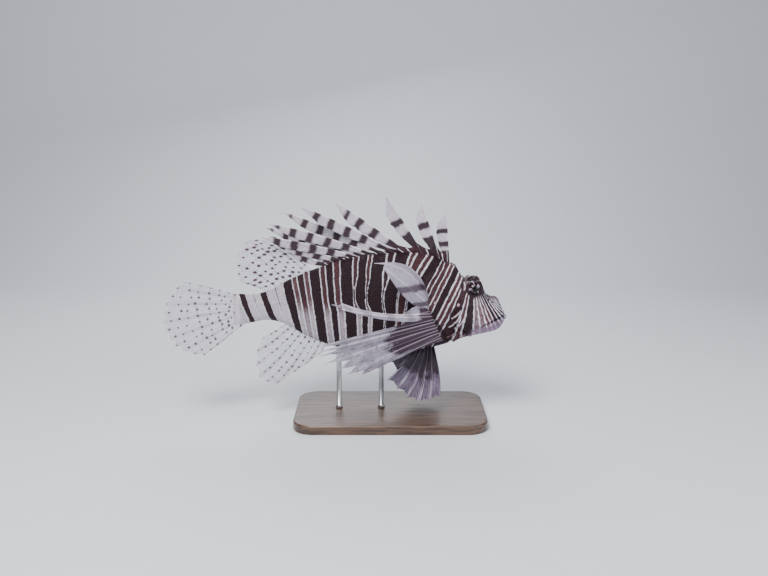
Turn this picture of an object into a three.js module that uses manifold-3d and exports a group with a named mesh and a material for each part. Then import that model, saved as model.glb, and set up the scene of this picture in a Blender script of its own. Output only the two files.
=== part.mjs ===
// A life-size museum model of a red lionfish, hovering on a plain two-rod stand.
// Millimetres, +Z up. The snout points along +X and the right flank faces -Y.
// The origin is the middle of the stand's underside.
import * as THREE from "three";
import { mergeVertices } from "three/addons/utils/BufferGeometryUtils.js";
import Module from "manifold-3d";

const wasm = await Module();
wasm.setup();

// Driving sizes
const BODY_LENGTH = 230; // snout to the end of the fleshy tail
const SNOUT_X = 100; // how far the snout is ahead of the stand's middle
const AXIS_Z = 105; // height of the body's long axis
const GAP = 0.35; // between pieces that meet
const TAIL_SWING = 7; // sideways swing of the tail root, towards the right
const SWING_FROM = 120; // the tail starts to swing this far behind the snout
const HEAD_TURN = 4; // sideways turn of the snout, towards the right
const TURN_BEFORE = 80; // the head starts to turn this far behind the snout

// Side and top outlines of the body: distance behind the snout, then height
// above the long axis or half width.
const BACK = [
  [-2, -10], [2, -1], [8, 5.5], [15, 9.5], [22, 16], [30, 21], [38, 27.5], [46, 34], [56, 40],
  [68, 43.8], [84, 46], [104, 45], [131, 42], [163, 32.5], [187, 23], [210, 11.5], [222, 9.5],
  [234, 10.5],
];
const BELLY = [
  [-2, -14], [4, -22], [20, -27], [34, -30], [50, -36], [70, -42], [92, -46], [112, -46.5],
  [138, -42.5], [160, -36], [178, -27.5], [196, -17], [210, -14.5], [222, -16.5], [234, -18],
];
const HALF_WIDTH = [
  [-2, 6.5], [6, 11.5], [18, 15.5], [34, 19.5], [54, 23], [76, 24], [98, 23], [124, 19.5], [152, 14.5],
  [180, 9.5], [206, 6], [226, 4], [234, 3],
];
const HEAD_BOX = [[2, 1], [16, 0.8], [32, 0.74], [48, 0.85], [72, 1]]; // below 1 the upper half is fuller
const WAIST = 0.44; // level of the widest part of a section, as a share of its height
const ROUND_ABOVE = 1.08; // how the section closes towards the back: 1 is an ellipse
const ROUND_BELOW = 0.94; // and towards the belly
const NOSE_ROUND = 7; // the muzzle rounds off over this length
const NOSE_TIP = -2; // furthest point of the lower jaw
const TAIL_ROUND = 5; // the tail root rounds off over this length
const TAIL_END = 237;
const AROUND = 30; // points round each section
const CROWN = 0.28; // how much closer together they stand along the back
const HEAD_STEP = 3.2; // between sections of the head
const TORSO_STEP = 10.5; // between sections of the torso
const NOSE_TO = 4; // ahead of this the sections stand twice as close
const HEAD_TO = 72; // behind this they stand wider apart
const CORE = [20, 5]; // coarser points round and head step, for the blocks that limit cuts

// Soft swellings and hollows of the head: where they are (behind the snout, out from
// the middle, above the axis), their reach, and how far they push out and up.
const HEAD_FORMS = {
  orbit: { at: [29, 12, 14], reach: [11.5, 8, 10], out: 3.2, up: 1.5 },
  brow: { at: [21, 8, 16.7], reach: [5.9, 5.5, 6.2], out: 2.2, up: 8.9 },
  browHollow: { at: [28, 0, 19], reach: [12, 4.5, 8], out: 0, up: -3 },
  browNotch: { at: [35.5, 0, 25], reach: [4.5, 9, 7], out: 0, up: -3.2 },
  napeCrest: { at: [43.5, 6, 32], reach: [4.5, 4, 6], out: 0.5, up: 3.2 },
  snoutHump: { at: [7, 0, 4], reach: [5, 5, 5], out: 0, up: 1.8 },
  snoutHollow: { at: [15, 9, 7], reach: [5, 7, 6], out: -1.8, up: -5 },
  muzzle: { at: [6, 9, -4], reach: [7, 6, 6], out: 1.6, up: 0 },
  jawCorner: { at: [24, 16, -17], reach: [6, 6, 5], out: 1.4, up: 0 },
  cheek: { at: [42, 20, -12], reach: [13, 9, 11], out: 2.4, up: 0 },
  cheekRidge: { at: [37, 19, 1], reach: [13, 8, 2.6], out: 1.3, up: 0 },
  gillCover: { at: [59, 22, 4], reach: [11, 9, 17], out: 2.4, up: 0 },
};

// A smooth, monotone curve through a few [x, y] points.
function curve(points) {
  const last = points.length - 1;
  const rise = points.slice(1).map(([x, y], i) => (y - points[i][1]) / (x - points[i][0]));
  const slope = points.map((_, i) => {
    if (i === 0) return rise[0];
    if (i === last) return rise[last - 1];
    const [a, b] = [rise[i - 1], rise[i]];
    return a * b <= 0 ? 0 : (2 * a * b) / (a + b);
  });
  return (x) => {
    const clamped = Math.min(Math.max(x, points[0][0]), points[last][0]);
    let i = 0;
    while (i < last - 1 && clamped > points[i + 1][0]) i++;
    const width = points[i + 1][0] - points[i][0];
    const t = (clamped - points[i][0]) / width;
    const [t2, t3] = [t * t, t * t * t];
    return (
      points[i][1] * (2 * t3 - 3 * t2 + 1) + slope[i] * width * (t3 - 2 * t2 + t) +
      points[i + 1][1] * (3 * t2 - 2 * t3) + slope[i + 1] * width * (t3 - t2)
    );
  };
}

const backAt = curve(BACK);
const bellyAt = curve(BELLY);
const halfWidthAt = curve(HALF_WIDTH);
const headBox = curve(HEAD_BOX);
const clamp01 = (t) => Math.min(Math.max(t, 0), 1);
const mix = THREE.MathUtils.lerp;
const deg = THREE.MathUtils.degToRad;

const SIDE_REACH = 45; // cutters pass right through the fish to this far each side

// Where the flesh is parted, in the side view
const GILL_EDGE = [
  [43, 62], [45, 46], [51, 36], [62, 31], [69, 25], [70, 16], [67, 5], [62.5, -7],
  [55.5, -19], [47.5, -29], [41, -41], [38, -56],
];
const TAIL_EDGE = [[226, 22], [229.5, 12], [231.5, -4], [229.5, -20], [226, -30]];
const STEM_EDGE = [[186, 50], [190, 22], [192, 4], [190, -14], [186, -40]];

// The eyes, their lids, the mouth, the nostrils and the flaps of skin
const EYE = {
  s: 28.5,
  y: 12.4,
  z: 16.2,
  radius: 6.5,
  lid: 1.2,
  opening: 5.6, // radius of the round window between the lids
  openFrom: 2.5, // how far out of the eye's middle the window begins
  openDeep: 12,
  look: [0.2, 1, 0.12],
  facets: [13, 8],
};
const MOUTH = {
  line: [[-6, -8], [-1, -8.4], [6, -10.4], [13, -13.8], [20, -17.6], [24, -20.5]],
  gape: 0.8,
  deep: 2.6,
};
const LIPS = [
  { line: [[1, -6.7], [4, -7.6], [11, -10.6], [22.5, -17]], front: -0.6, radius: 1.9 },
  { line: [[0.6, -10.9], [4, -12.2], [11, -15.6], [21, -21]], front: -1.1, radius: 2 },
];
const LIP_SINK = 0.74; // share of a lip's radius that lies in the head
const CHEEK_FOLD = {
  line: [[38, 2], [44.5, -4], [45, -13], [39.5, -21], [30, -24.5]],
  gape: 0.9,
  deep: 1.8,
};
const NOSTRILS = { at: [[14, 4.6, 1.1], [10, 1.6, 0.9]], deep: 3.5, sides: 7 }; // each with its radius
const SKIN_FLAPS = [
  { s: 3.5, z: -4.5, length: 5.5, width: 2.4, toward: [-0.7, 0.5, -0.2] },
  { s: 11, z: 3, length: 4, width: 2, toward: [-0.4, 0.8, 0.6] },
  { s: 27, z: -22.5, length: 5.5, width: 4, toward: [0.2, 0.6, -0.8] },
  { s: 36, z: -24, length: 7.5, width: 5, toward: [0.4, 0.6, -0.8] },
  { s: 44, z: -23.5, length: 6, width: 4.4, toward: [0.7, 0.6, -0.6] },
];
const FLAP = { thick: 1.6, thin: 0.8, sink: 2.5, bow: 0.8, lift: 0.6 };

// The thirteen dorsal spines, by number from the front
const SPINES = {
  count: 13,
  foot: curve([[0, 49], [1, 56.5], [2, 70], [3, 81], [5, 99], [8, 122], [12, 153]]),
  lean: curve([
    [0, 93], [1, 106], [2, 119], [3, 141], [4, 148], [6, 157], [8, 161], [10, 158], [12, 148],
  ]),
  length: curve([
    [0, 49], [1, 55], [2, 65], [3, 83], [4, 98], [5, 103], [7, 98], [9, 78], [11, 50], [12, 38],
  ]),
  splay: curve([[0, 3], [2, 5], [4, 10], [7, 13], [12, 5]]),
  leaf: curve([[0, 9], [2, 9.5], [5, 8], [9, 7], [12, 6]]),
  thick: 2.4, // of a spine at its foot
  thin: 0.7, // and at its tip
  leafThick: 0.6,
  sink: 5, // depth of the feet in the back
  web: 7, // height of the web that joins the feet
  webThick: 1.1,
  droop: 0.08, // how far the tips sink, as a share of the length
};
const THIN = 0.5; // the thinnest edge of the soft fins
const TIP = 0.7; // thickness of a ray at its tip

// The fins of the midline, by share of the fin from front to rear or top to bottom
const SOFT_DORSAL = {
  count: 10,
  foot: curve([[0, 170], [1, 209]]),
  edge: backAt,
  sink: 4,
  angle: curve([[0, 142], [0.5, 140], [1, 158]]),
  length: curve([[0, 40], [0.3, 51], [0.6, 47], [1, 24]]),
  bow: -0.06,
};
const ANAL = {
  count: 9,
  foot: curve([[0, 158], [1, 193]]),
  edge: bellyAt,
  sink: 4,
  angle: curve([[0, 242], [0.5, 231], [1, 212]]),
  length: curve([[0, 13], [0.2, 30], [0.38, 52], [0.55, 56], [0.8, 44], [1, 24]]),
  bow: 0.06,
};
const TAIL = {
  count: 12,
  foot: (u) => mix(225, 227, Math.sin(Math.PI * u)),
  edge: (s, u) => mix(6, -14, u),
  sink: 2,
  angle: (u) => mix(163, 218, u),
  length: curve([[0, 56], [0.25, 67], [0.5, 71], [0.75, 66], [1, 50]]),
  bow: 0,
  rootThick: 3,
};
const PECTORAL = {
  count: 14,
  sink: 4,
  rootAhead: 5, // the rays root this far ahead of the foot, under the skin
  heading: [12, 16, 1], // the rays first run back, out and up by this much
  bendAt: 0.28,
  footS: curve([[0, 71], [1, 57]]),
  footZ: curve([[0, 3], [1, -29]]),
  tipS: curve([
    [0, 113.8], [1, 105.9], [2, 139], [3, 147], [4, 139], [5, 157], [7, 158.5], [9, 146], [11, 125],
    [13, 94],
  ]),
  tipY: curve([
    [0, 40.8], [1, 54.2], [2, 71.5], [3, 79.5], [4, 78.5], [5, 80], [7, 76], [9, 66], [11, 50], [13, 35],
  ]),
  tipZ: curve([
    [0, 43], [1, 41.7], [2, 16], [3, 17], [4, 12.5], [5, -17], [7, -27], [9, -42], [11, -51],
    [13, -40],
  ]),
  lift: curve([[0, 28], [1, 10.7], [2, -9.3], [3, -4.8], [4, -3.2], [5, 0], [13, 0]]),
  leaf: curve([[0, 7.2], [1, 8.8], [2, 3], [4, 3.8], [6, 3.2], [13, 2]]),
  web: [5, 2, 4, 4, 2, 3, 3, 4, 4, 5, 5, 6, 6],
};
const PELVIC = {
  count: 6,
  footS: curve([[0, 62], [1, 74]]),
  footY: 6,
  footZ: -38,
  tipS: curve([[0, 56], [0.4, 76], [1, 103]]),
  tipY: curve([[0, 22], [1, 30]]),
  tipZ: curve([[0, -80], [0.35, -84], [1, -62]]),
  bow: [-3, 4, 2], // how far the middle of a ray stands off its chord
};

const STAND = {
  length: 170,
  width: 96,
  thick: 8,
  corner: 18,
  bevel: 1,
  rod: 3.2,
  frontX: -8,
  rearX: -46,
};
const ROD_RISE = 6; // a rod is made this much too long, then cut off at the belly
const COLOURS = { skin: 0x4a2633, eye: 0x1a1210, fin: 0xb9a6a4, stand: 0x4a3526, rod: 0x9a9a9a };

// How much a section keeps of its size near the rounded ends.
function endRound(s) {
  const nose = clamp01((NOSE_ROUND - s) / (NOSE_ROUND - NOSE_TIP));
  return Math.sqrt(1 - nose * nose);
}

function tailTaper(s) {
  const end = clamp01((s - TAIL_END + TAIL_ROUND) / TAIL_ROUND);
  return Math.sqrt(1 - end * end);
}

// A point of the straight body: s behind the snout, turn round the section from the back.
function bodyPoint(s, turn) {
  const keep = endRound(s);
  const [top, bottom] = [backAt(s), bellyAt(s)];
  const waist = mix(bottom, top, WAIST);
  const c = Math.cos(turn);
  const reach = c > 0 ? top - waist : waist - bottom;
  const squareness = c > 0 ? ROUND_ABOVE : ROUND_BELOW;
  const height = waist + keep * reach * Math.sign(c) * Math.abs(c) ** squareness;
  const side = Math.sin(turn);
  const fullness = c > 0 ? headBox(s) : 1;
  const across = keep * tailTaper(s) * halfWidthAt(s) * Math.sign(side) * Math.abs(side) ** fullness;
  const p = new THREE.Vector3(s, across, height);
  for (const f of Object.values(HEAD_FORMS)) {
    const away = [s, Math.abs(across), height].map((v, i) => (v - f.at[i]) / f.reach[i]);
    const share = Math.exp(-away.reduce((sum, d) => sum + d * d, 0));
    p.y += Math.sign(across) * f.out * share;
    p.z += f.up * share;
  }
  return p;
}

// From (s behind the snout, sideways, above the axis) to the posed model.
function posed(p) {
  const tail = Math.max(p.x - SWING_FROM, 0) / (BODY_LENGTH - SWING_FROM);
  const head = Math.max(TURN_BEFORE - p.x, 0) / TURN_BEFORE;
  const swing = TAIL_SWING * tail * tail + HEAD_TURN * head * head;
  return new THREE.Vector3(SNOUT_X - p.x, p.y - swing, AXIS_Z + p.z);
}

// The sideways reach of the body at a given station and height.
function flankAt(s, z) {
  let [low, high] = [0, Math.PI];
  for (let i = 0; i < 24; i++) {
    const turn = (low + high) / 2;
    if (bodyPoint(s, turn).z > z) low = turn;
    else high = turn;
  }
  return bodyPoint(s, (low + high) / 2).y;
}

// Solids and meshes
function solidOf(geometry) {
  const bare = new THREE.BufferGeometry();
  const flat = geometry.index ? geometry.toNonIndexed() : geometry;
  bare.setAttribute("position", flat.getAttribute("position").clone());
  const merged = mergeVertices(bare, 1e-4);
  const solid = (tris) =>
    new wasm.Manifold(
      new wasm.Mesh({ numProp: 3, vertProperties: merged.attributes.position.array, triVerts: tris }),
    );
  const tris = new Uint32Array(merged.index.array);
  const made = solid(tris);
  return made.volume() < 0 ? solid(tris.reverse()) : made;
}

function fromTriangles(points, triangles) {
  const geometry = new THREE.BufferGeometry();
  geometry.setAttribute(
    "position",
    new THREE.Float32BufferAttribute(points.flatMap((p) => [p.x, p.y, p.z]), 3),
  );
  geometry.setIndex(triangles.flat());
  return solidOf(geometry);
}

const largest = (solid) => solid.decompose().sort((a, b) => b.volume() - a.volume())[0];
const joined = (solids) => solids.reduce((all, one) => all.add(one));

// The body as rings of points from the muzzle to the tail root, standing out by grow.
function bodySolid(grow, around = AROUND, headStep = HEAD_STEP) {
  const stations = [];
  for (let s = NOSE_TIP + 0.4; s < NOSE_TO; s += headStep / 2) stations.push(s);
  for (let s = NOSE_TO; s < HEAD_TO; s += headStep) stations.push(s);
  for (let s = HEAD_TO; s < TAIL_END - TAIL_ROUND - 3; s += TORSO_STEP) stations.push(s);
  for (const k of [0, 0.5, 0.8, 0.95]) stations.push(TAIL_END - TAIL_ROUND * (1 - k));
  const points = [];
  const turnAt = (k) => (2 * Math.PI * k) / around - CROWN * Math.sin((2 * Math.PI * k) / around);
  const ringAt = (s) => Array.from({ length: around }, (_, k) => bodyPoint(s, turnAt(k)));
  const rings = stations.map(ringAt);
  rings.forEach((ring) => points.push(...ring));
  for (const s of [NOSE_TIP, TAIL_END]) {
    points.push(new THREE.Vector3(s, 0, mix(bellyAt(s), backAt(s), WAIST)));
  }
  const [nose, tail] = [points.length - 2, points.length - 1];
  const triangles = [];
  for (let k = 0; k < around; k++) {
    const next = (k + 1) % around;
    triangles.push([nose, next, k]);
    for (let i = 0; i + 1 < rings.length; i++) {
      const [a, b] = [i * around, (i + 1) * around];
      triangles.push([a + k, a + next, b + next], [a + k, b + next, b + k]);
    }
    const end = (rings.length - 1) * around;
    triangles.push([tail, end + k, end + next]);
  }
  if (grow) {
    const normals = points.map(() => new THREE.Vector3());
    for (const [a, b, c] of triangles) {
      const edge = points[b].clone().sub(points[a]);
      const face = points[c].clone().sub(points[a]).cross(edge);
      [a, b, c].forEach((v) => normals[v].add(face));
    }
    const onTheBack = around * Math.floor(rings.length / 2);
    const outwards = normals[onTheBack].z > 0 ? 1 : -1;
    points.forEach((p, i) => p.addScaledVector(normals[i].normalize(), grow * outwards));
  }
  return fromTriangles(points.map(posed), triangles);
}

// A ruled shape in the side view, pushed through the whole width of the fish.
function throughWidth(outline) {
  const shape = new THREE.Shape(outline.map(([s, z]) => new THREE.Vector2(SNOUT_X - s, AXIS_Z + z)));
  const geometry = new THREE.ExtrudeGeometry(shape, { depth: 2 * SIDE_REACH, bevelEnabled: false });
  geometry.rotateX(Math.PI / 2);
  geometry.translate(0, SIDE_REACH, 0);
  return solidOf(geometry);
}

// A smooth line of the side view, moved sideways by off.
function sideLine(line, off, steps) {
  const path = new THREE.SplineCurve(line.map(([s, z]) => new THREE.Vector2(s, z)));
  return path.getSpacedPoints(steps).map((p, i) => {
    const t = path.getTangentAt(i / steps);
    return [p.x - off * t.y, p.y + off * t.x];
  });
}

// A thin curved blade that follows a line of the side view.
function blade(line, thickness, steps) {
  const [one, other] = [0.5, -0.5].map((side) => sideLine(line, side * thickness, steps));
  return throughWidth([...one, ...other.reverse()]);
}

// A closed sheet from columns of points on its middle surface and its thickness at each.
// Only cells for which present(column, row) holds are filled; both faces are split alike.
function sheet(columns, thickness, present) {
  const rows = columns[0].length;
  const inside = (c, r) => c >= 0 && r >= 0 && c < columns.length - 1 && r < rows - 1;
  const filled = (c, r) => inside(c, r) && present(c, r);
  const kept = (i, count) => Math.min(Math.max(i, 0), count - 1);
  const at = (c, r) => columns[kept(c, columns.length)][kept(r, rows)];
  const index = new Map();
  const points = [];
  const corner = (c, r) => {
    const key = c * rows + r;
    if (!index.has(key)) {
      const across = at(c + 1, r).clone().sub(at(c - 1, r));
      const along = at(c, r + 1).clone().sub(at(c, r - 1));
      const normal = across.cross(along).normalize().multiplyScalar(thickness(c, r) / 2);
      index.set(key, points.length);
      points.push(at(c, r).clone().add(normal), at(c, r).clone().sub(normal));
    }
    return index.get(key);
  };
  const triangles = [];
  const wall = (p, q) => triangles.push([p, p + 1, q + 1], [p, q + 1, q]);
  for (let c = 0; c < columns.length - 1; c++) {
    for (let r = 0; r < rows - 1; r++) {
      if (!filled(c, r)) continue;
      const [a, b, d, e] = [corner(c, r), corner(c + 1, r), corner(c + 1, r + 1), corner(c, r + 1)];
      triangles.push([a, b, d], [a, d, e], [a + 1, d + 1, b + 1], [a + 1, e + 1, d + 1]);
      if (!filled(c, r - 1)) wall(a, b);
      if (!filled(c + 1, r)) wall(b, d);
      if (!filled(c, r + 1)) wall(d, e);
      if (!filled(c - 1, r)) wall(e, a);
    }
  }
  return fromTriangles(points.map(posed), triangles);
}

// A curved ray from root to tip that starts off in the given direction.
function rayLine(root, aim, tip) {
  return new THREE.QuadraticBezierCurve3(root, aim, tip);
}

const SHARED = 0.46; // a ray's shoulder takes at most this share of the space to the next ray

// A fin of rays. Each ray is a crest between two shoulders; a web joins neighbouring
// shoulders over the first web(j) rows, and past it the rays run free.
function rayFin({ rays, rows, web, shoulder, crest, membrane, webEnd = (rows - 1) / rows }) {
  const share = (r) => Math.min((webEnd * r) / (rows - 1), 1);
  const along = rays.map((ray) => Array.from({ length: rows + 1 }, (_, r) => ray.getPoint(share(r))));
  const columns = [];
  const kinds = [];
  along.forEach((line, j) => {
    const step = (r, k) => {
      const [from, to] = along[j + k] ? [line, along[j + k]] : [along[j - k], line];
      const other = to[r].clone().sub(from[r]);
      const room = other.length();
      return other.multiplyScalar(Math.min(shoulder(j, share(r)), SHARED * room) / room);
    };
    columns.push(line.map((p, r) => p.clone().add(step(r, -1))));
    columns.push(line);
    columns.push(line.map((p, r) => p.clone().add(step(r, 1))));
    kinds.push("edge", "crest", "edge");
  });
  const thickness = (c, r) => {
    const [j, t] = [Math.floor(c / 3), share(r)];
    return kinds[c] === "crest" ? crest(j, t) : membrane(j, t);
  };
  return sheet(columns, thickness, (c, r) => c % 3 !== 2 || r < web(Math.floor(c / 3)));
}

// A single free ray or flap with a thick middle line; side points across it.
function flap({ ray, side, rows, front, rear, crest, membrane, inner = [] }) {
  const line = Array.from({ length: rows + 1 }, (_, r) => ray.getPoint(r / rows));
  const off = (share) => line.map((p, r) => p.clone().addScaledVector(side(r / rows), share(r / rows)));
  const between = inner.map((share) => off((t) => share * rear(t)));
  const columns = [off((t) => -front(t)), line, ...between, off(rear)];
  const thickness = (c, r) => (c === 1 ? crest(r / rows) : membrane(r / rows));
  return sheet(columns, thickness, () => true);
}

const V = (s, y, z) => new THREE.Vector3(s, y, z);
const body = bodySolid(0);
const bodyWithGap = bodySolid(GAP);
const outside = (fin) => largest(fin.subtract(bodyWithGap));

// The flesh, parted by thin cuts behind the gill covers and before the tail root
const gillCut = blade(GILL_EDGE, GAP, 24);
const stemCut = blade(STEM_EDGE, GAP, 6);
const tailCut = blade(TAIL_EDGE, GAP, 8);
const flesh = body.subtract(gillCut).subtract(stemCut).subtract(tailCut).decompose();
const place = (solid) => solid.boundingBox().max[0];
const [headBlock, torso, tailStem] = flesh
  .filter((solid) => solid.volume() > 100)
  .sort((a, b) => place(b) - place(a));

// The head: eyes in their sockets with lids, lips along the mouth, nostrils, skin flaps
const eyeBall = (side, radius) => {
  const ball = new THREE.SphereGeometry(radius, ...EYE.facets);
  const at = posed(V(EYE.s, side * EYE.y, EYE.z));
  return solidOf(ball.translate(at.x, at.y, at.z));
};

// The round window between the lids, a cylinder along the line of sight.
function eyeWindow(side) {
  const tube = new THREE.CylinderGeometry(EYE.opening, EYE.opening, EYE.openDeep, 16);
  tube.translate(0, EYE.openFrom + EYE.openDeep / 2, 0);
  const look = new THREE.Vector3(EYE.look[0], side * EYE.look[1], EYE.look[2]).normalize();
  tube.applyQuaternion(new THREE.Quaternion().setFromUnitVectors(new THREE.Vector3(0, 1, 0), look));
  const at = posed(V(EYE.s, side * EYE.y, EYE.z));
  return solidOf(tube.translate(at.x, at.y, at.z));
}

function lip({ line, front, radius }) {
  const half = new THREE.SplineCurve(line.map(([s, z]) => new THREE.Vector2(s, z))).getSpacedPoints(5);
  const left = half.map((p) => V(p.x, flankAt(p.x, p.y) + (1 - 2 * LIP_SINK) * radius, p.y));
  const right = left.map((p) => V(p.x, -p.y, p.z)).reverse();
  const middle = V(front, 0, line[0][1] + 0.2);
  const path = new THREE.CatmullRomCurve3([...right, middle, ...left].map(posed));
  return capped(path, 16, radius, 5, (t) => mix(0.55, 1, Math.sin(Math.PI * t) ** 0.7));
}

// A round tube with closed, drawn-in ends, narrowed along its run by taper.
function capped(path, steps, radius, sides, taper) {
  const tube = new THREE.TubeGeometry(path, steps, radius, sides, false);
  const frames = path.computeFrenetFrames(steps, false);
  const position = tube.getAttribute("position");
  const ends = [path.getPointAt(0), path.getPointAt(1)];
  const drawn = [-0.6, 0.6]; // how far the ends are drawn out, in radii
  const extra = ends.map((p, i) => p.clone().addScaledVector(frames.tangents[i * steps], drawn[i] * radius));
  const points = [];
  for (let i = 0; i < position.count; i++) {
    const t = Math.floor(i / (sides + 1)) / steps;
    const middle = path.getPointAt(t);
    points.push(new THREE.Vector3().fromBufferAttribute(position, i).lerp(middle, 1 - taper(t)));
  }
  points.push(...extra);
  const triangles = [];
  const faces = tube.index.array;
  for (let i = 0; i < faces.length; i += 3) triangles.push([faces[i], faces[i + 1], faces[i + 2]]);
  for (let k = 0; k < sides; k++) {
    triangles.push([points.length - 2, k, k + 1]);
    const far = steps * (sides + 1) + k;
    triangles.push([points.length - 1, far + 1, far]);
  }
  return fromTriangles(points, triangles);
}

// A small tapering flap of skin: root on the flank, length, width, and where it points.
function skinFlap(side, { s, z, y = flankAt(s, z), length, width, toward }) {
  const out = V(toward[0], side * toward[1], toward[2]).normalize();
  const root = V(s, side * y, z).addScaledVector(out, -FLAP.sink);
  const tip = root.clone().addScaledVector(out, length + FLAP.sink);
  const bend = root.clone().lerp(tip, 0.5).add(V(0, side * FLAP.bow, FLAP.lift));
  const across = new THREE.Vector3().crossVectors(out, V(0, side, 0)).normalize();
  const half = (t) => (width / 2) * (0.55 + 1.1 * t - 1.35 * t * t);
  const round = (t) => mix(FLAP.thick, FLAP.thin, t);
  const ray = rayLine(root, bend, tip);
  const edge = (t) => 0.6 * round(t);
  return flap({ ray, side: () => across, rows: 2, front: half, rear: half, crest: round, membrane: edge });
}

const headParts = [];
for (const side of [-1, 1]) {
  headParts.push(eyeBall(side, EYE.radius + EYE.lid));
  for (const one of SKIN_FLAPS) headParts.push(skinFlap(side, one));
}
headParts.push(...LIPS.map(lip));
let head = joined([headBlock, ...headParts]);
for (const { line, gape, deep } of [MOUTH, CHEEK_FOLD]) {
  head = head.subtract(blade(line, gape, 10).subtract(bodySolid(-deep, ...CORE)));
}
for (const side of [-1, 1]) {
  head = head.subtract(eyeBall(side, EYE.radius + GAP)).subtract(eyeWindow(side));
  for (const [s, z, radius] of NOSTRILS.at) {
    const hole = new THREE.CylinderGeometry(radius, radius * 0.8, 2 * NOSTRILS.deep, NOSTRILS.sides);
    const at = posed(V(s, side * flankAt(s, z), z));
    head = head.subtract(solidOf(hole.translate(at.x, at.y, at.z)));
  }
}
head = largest(head);

// Spiny dorsal fin: thirteen spines, each with its own leaf behind it, over a low web
const spineRow = Array.from({ length: SPINES.count }, (_, i) => {
  const rise = deg(SPINES.lean(i));
  const s = SPINES.foot(i);
  const direction = V(-Math.cos(rise), 0, Math.sin(rise));
  const foot = V(s, 0, backAt(s) - SPINES.sink);
  const length = SPINES.length(i) + SPINES.sink;
  const sideways = (i % 2 ? 1 : -1) * SPINES.splay(i);
  const tip = foot.clone().addScaledVector(direction, length).add(V(0, sideways, -SPINES.droop * length));
  const bend = foot.clone().addScaledVector(direction, 0.55 * length);
  return rayLine(foot, bend, tip);
});
const behind = (ray) => (t) => {
  const run = ray.getTangent(t);
  return V(run.z, 0, -run.x).normalize();
};
const spineLeaves = spineRow.map((ray, i) => {
  const wide = SPINES.leaf(i);
  const swell = (t) => Math.sin(Math.PI * clamp01((t - 0.18) / 0.86)) ** 0.8;
  const rear = (t) => wide * mix(0.26, 1, swell(t)) * (t > 0.98 ? 0.15 : 1);
  const front = (t) => mix(0.9, 0.35, t);
  const crest = (t) => mix(SPINES.thick, SPINES.thin, t);
  const membrane = () => SPINES.leafThick;
  return flap({ ray, side: behind(ray), rows: 6, front, rear, crest, membrane, inner: [0.35] });
});
const webTops = spineRow.flatMap((ray, i) => {
  const next = spineRow[Math.min(i + 1, SPINES.count - 1)];
  const rise = (SPINES.length(i) + SPINES.sink) * Math.sin(deg(SPINES.lean(i)));
  const share = (height) => (height + SPINES.sink) / rise;
  const column = (across, top) =>
    [0, 1].map((t) => ray.getPoint(t * top).lerp(next.getPoint(t * top), across).setY(0));
  const crest = column(0, share(SPINES.web));
  return i + 1 < SPINES.count ? [crest, column(0.5, share(0.6 * SPINES.web))] : [crest];
});
const spinyWeb = sheet(webTops, () => SPINES.webThick, () => true);
const spinyDorsal = outside(joined([spinyWeb, ...spineLeaves]));

// A fin along the midline: rays with feet on the body's edge, fanned by angle and length
function medianRays({ count, foot, edge, sink, angle, length, bow }) {
  return Array.from({ length: count }, (_, j) => {
    const u = j / (count - 1);
    const s = foot(u);
    const rise = deg(angle(u));
    const direction = V(-Math.cos(rise), 0, Math.sin(rise));
    const root = V(s, 0, edge(s, u)).addScaledVector(direction, -sink);
    const full = length(u) + sink;
    const tip = root.clone().addScaledVector(direction, full);
    const off = V(direction.z, 0, -direction.x).multiplyScalar(bow * full);
    return rayLine(root, root.clone().lerp(tip, 0.55).add(off), tip);
  });
}

const softFin = {
  webEnd: 0.95,
  crest: (j, t) => mix(1.5, TIP, t),
  membrane: (j, t) => mix(0.8, THIN, t),
};
const softDorsal = outside(
  rayFin({ rays: medianRays(SOFT_DORSAL), rows: 6, web: () => 5, shoulder: () => 0.9, ...softFin }),
);
const analFin = outside(
  rayFin({ rays: medianRays(ANAL), rows: 6, web: (j) => (j < 3 ? 4 : 5), shoulder: () => 0.9, ...softFin }),
);
const tailRays = rayFin({
  rays: medianRays(TAIL),
  rows: 5,
  web: () => 4,
  shoulder: () => 1,
  webEnd: softFin.webEnd,
  crest: (j, t) => softFin.crest(j, t) + TAIL.rootThick * (1 - t) ** 8,
  membrane: (j, t) => softFin.membrane(j, t) + TAIL.rootThick * (1 - t) ** 8,
});
const [[, tailTop], [, tailBottom]] = [TAIL_EDGE[0], TAIL_EDGE[TAIL_EDGE.length - 1]];
const onTheStem = 200; // a station well ahead of the tail fin
const aheadOfTail = throughWidth([
  ...sideLine(TAIL_EDGE, GAP / 2, 8).reverse(),
  [onTheStem, tailTop],
  [onTheStem, tailBottom],
]);
const tailFin = largest(tailRays.subtract(aheadOfTail));

// Pectoral fins: the upper rays run free as long leaves, the lower ones share a web
function pectoral(side) {
  const rays = Array.from({ length: PECTORAL.count }, (_, j) => {
    const u = j / (PECTORAL.count - 1);
    const [s, z] = [PECTORAL.footS(u), PECTORAL.footZ(u)];
    const [back, out, up] = PECTORAL.heading;
    const root = V(s - PECTORAL.rootAhead, side * (flankAt(s, z) - PECTORAL.sink), z);
    const tip = V(PECTORAL.tipS(j), side * PECTORAL.tipY(j), PECTORAL.tipZ(j));
    const start = V(s + back, side * (flankAt(s, z) + out), z + up);
    const lift = PECTORAL.lift(j);
    const bend = start.clone().lerp(tip, PECTORAL.bendAt).add(V(-0.4 * lift, 0, lift));
    return rayLine(root, bend, tip);
  });
  return outside(
    rayFin({
      rays,
      rows: 7,
      web: (j) => PECTORAL.web[j],
      shoulder: (j, t) => mix(0.9, PECTORAL.leaf(j), Math.sin(Math.PI * clamp01((t - 0.15) / 0.87)) ** 0.7),
      crest: (j, t) => mix(1.7, TIP, t),
      membrane: (j, t) => mix(0.9, THIN, t),
    }),
  );
}

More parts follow.
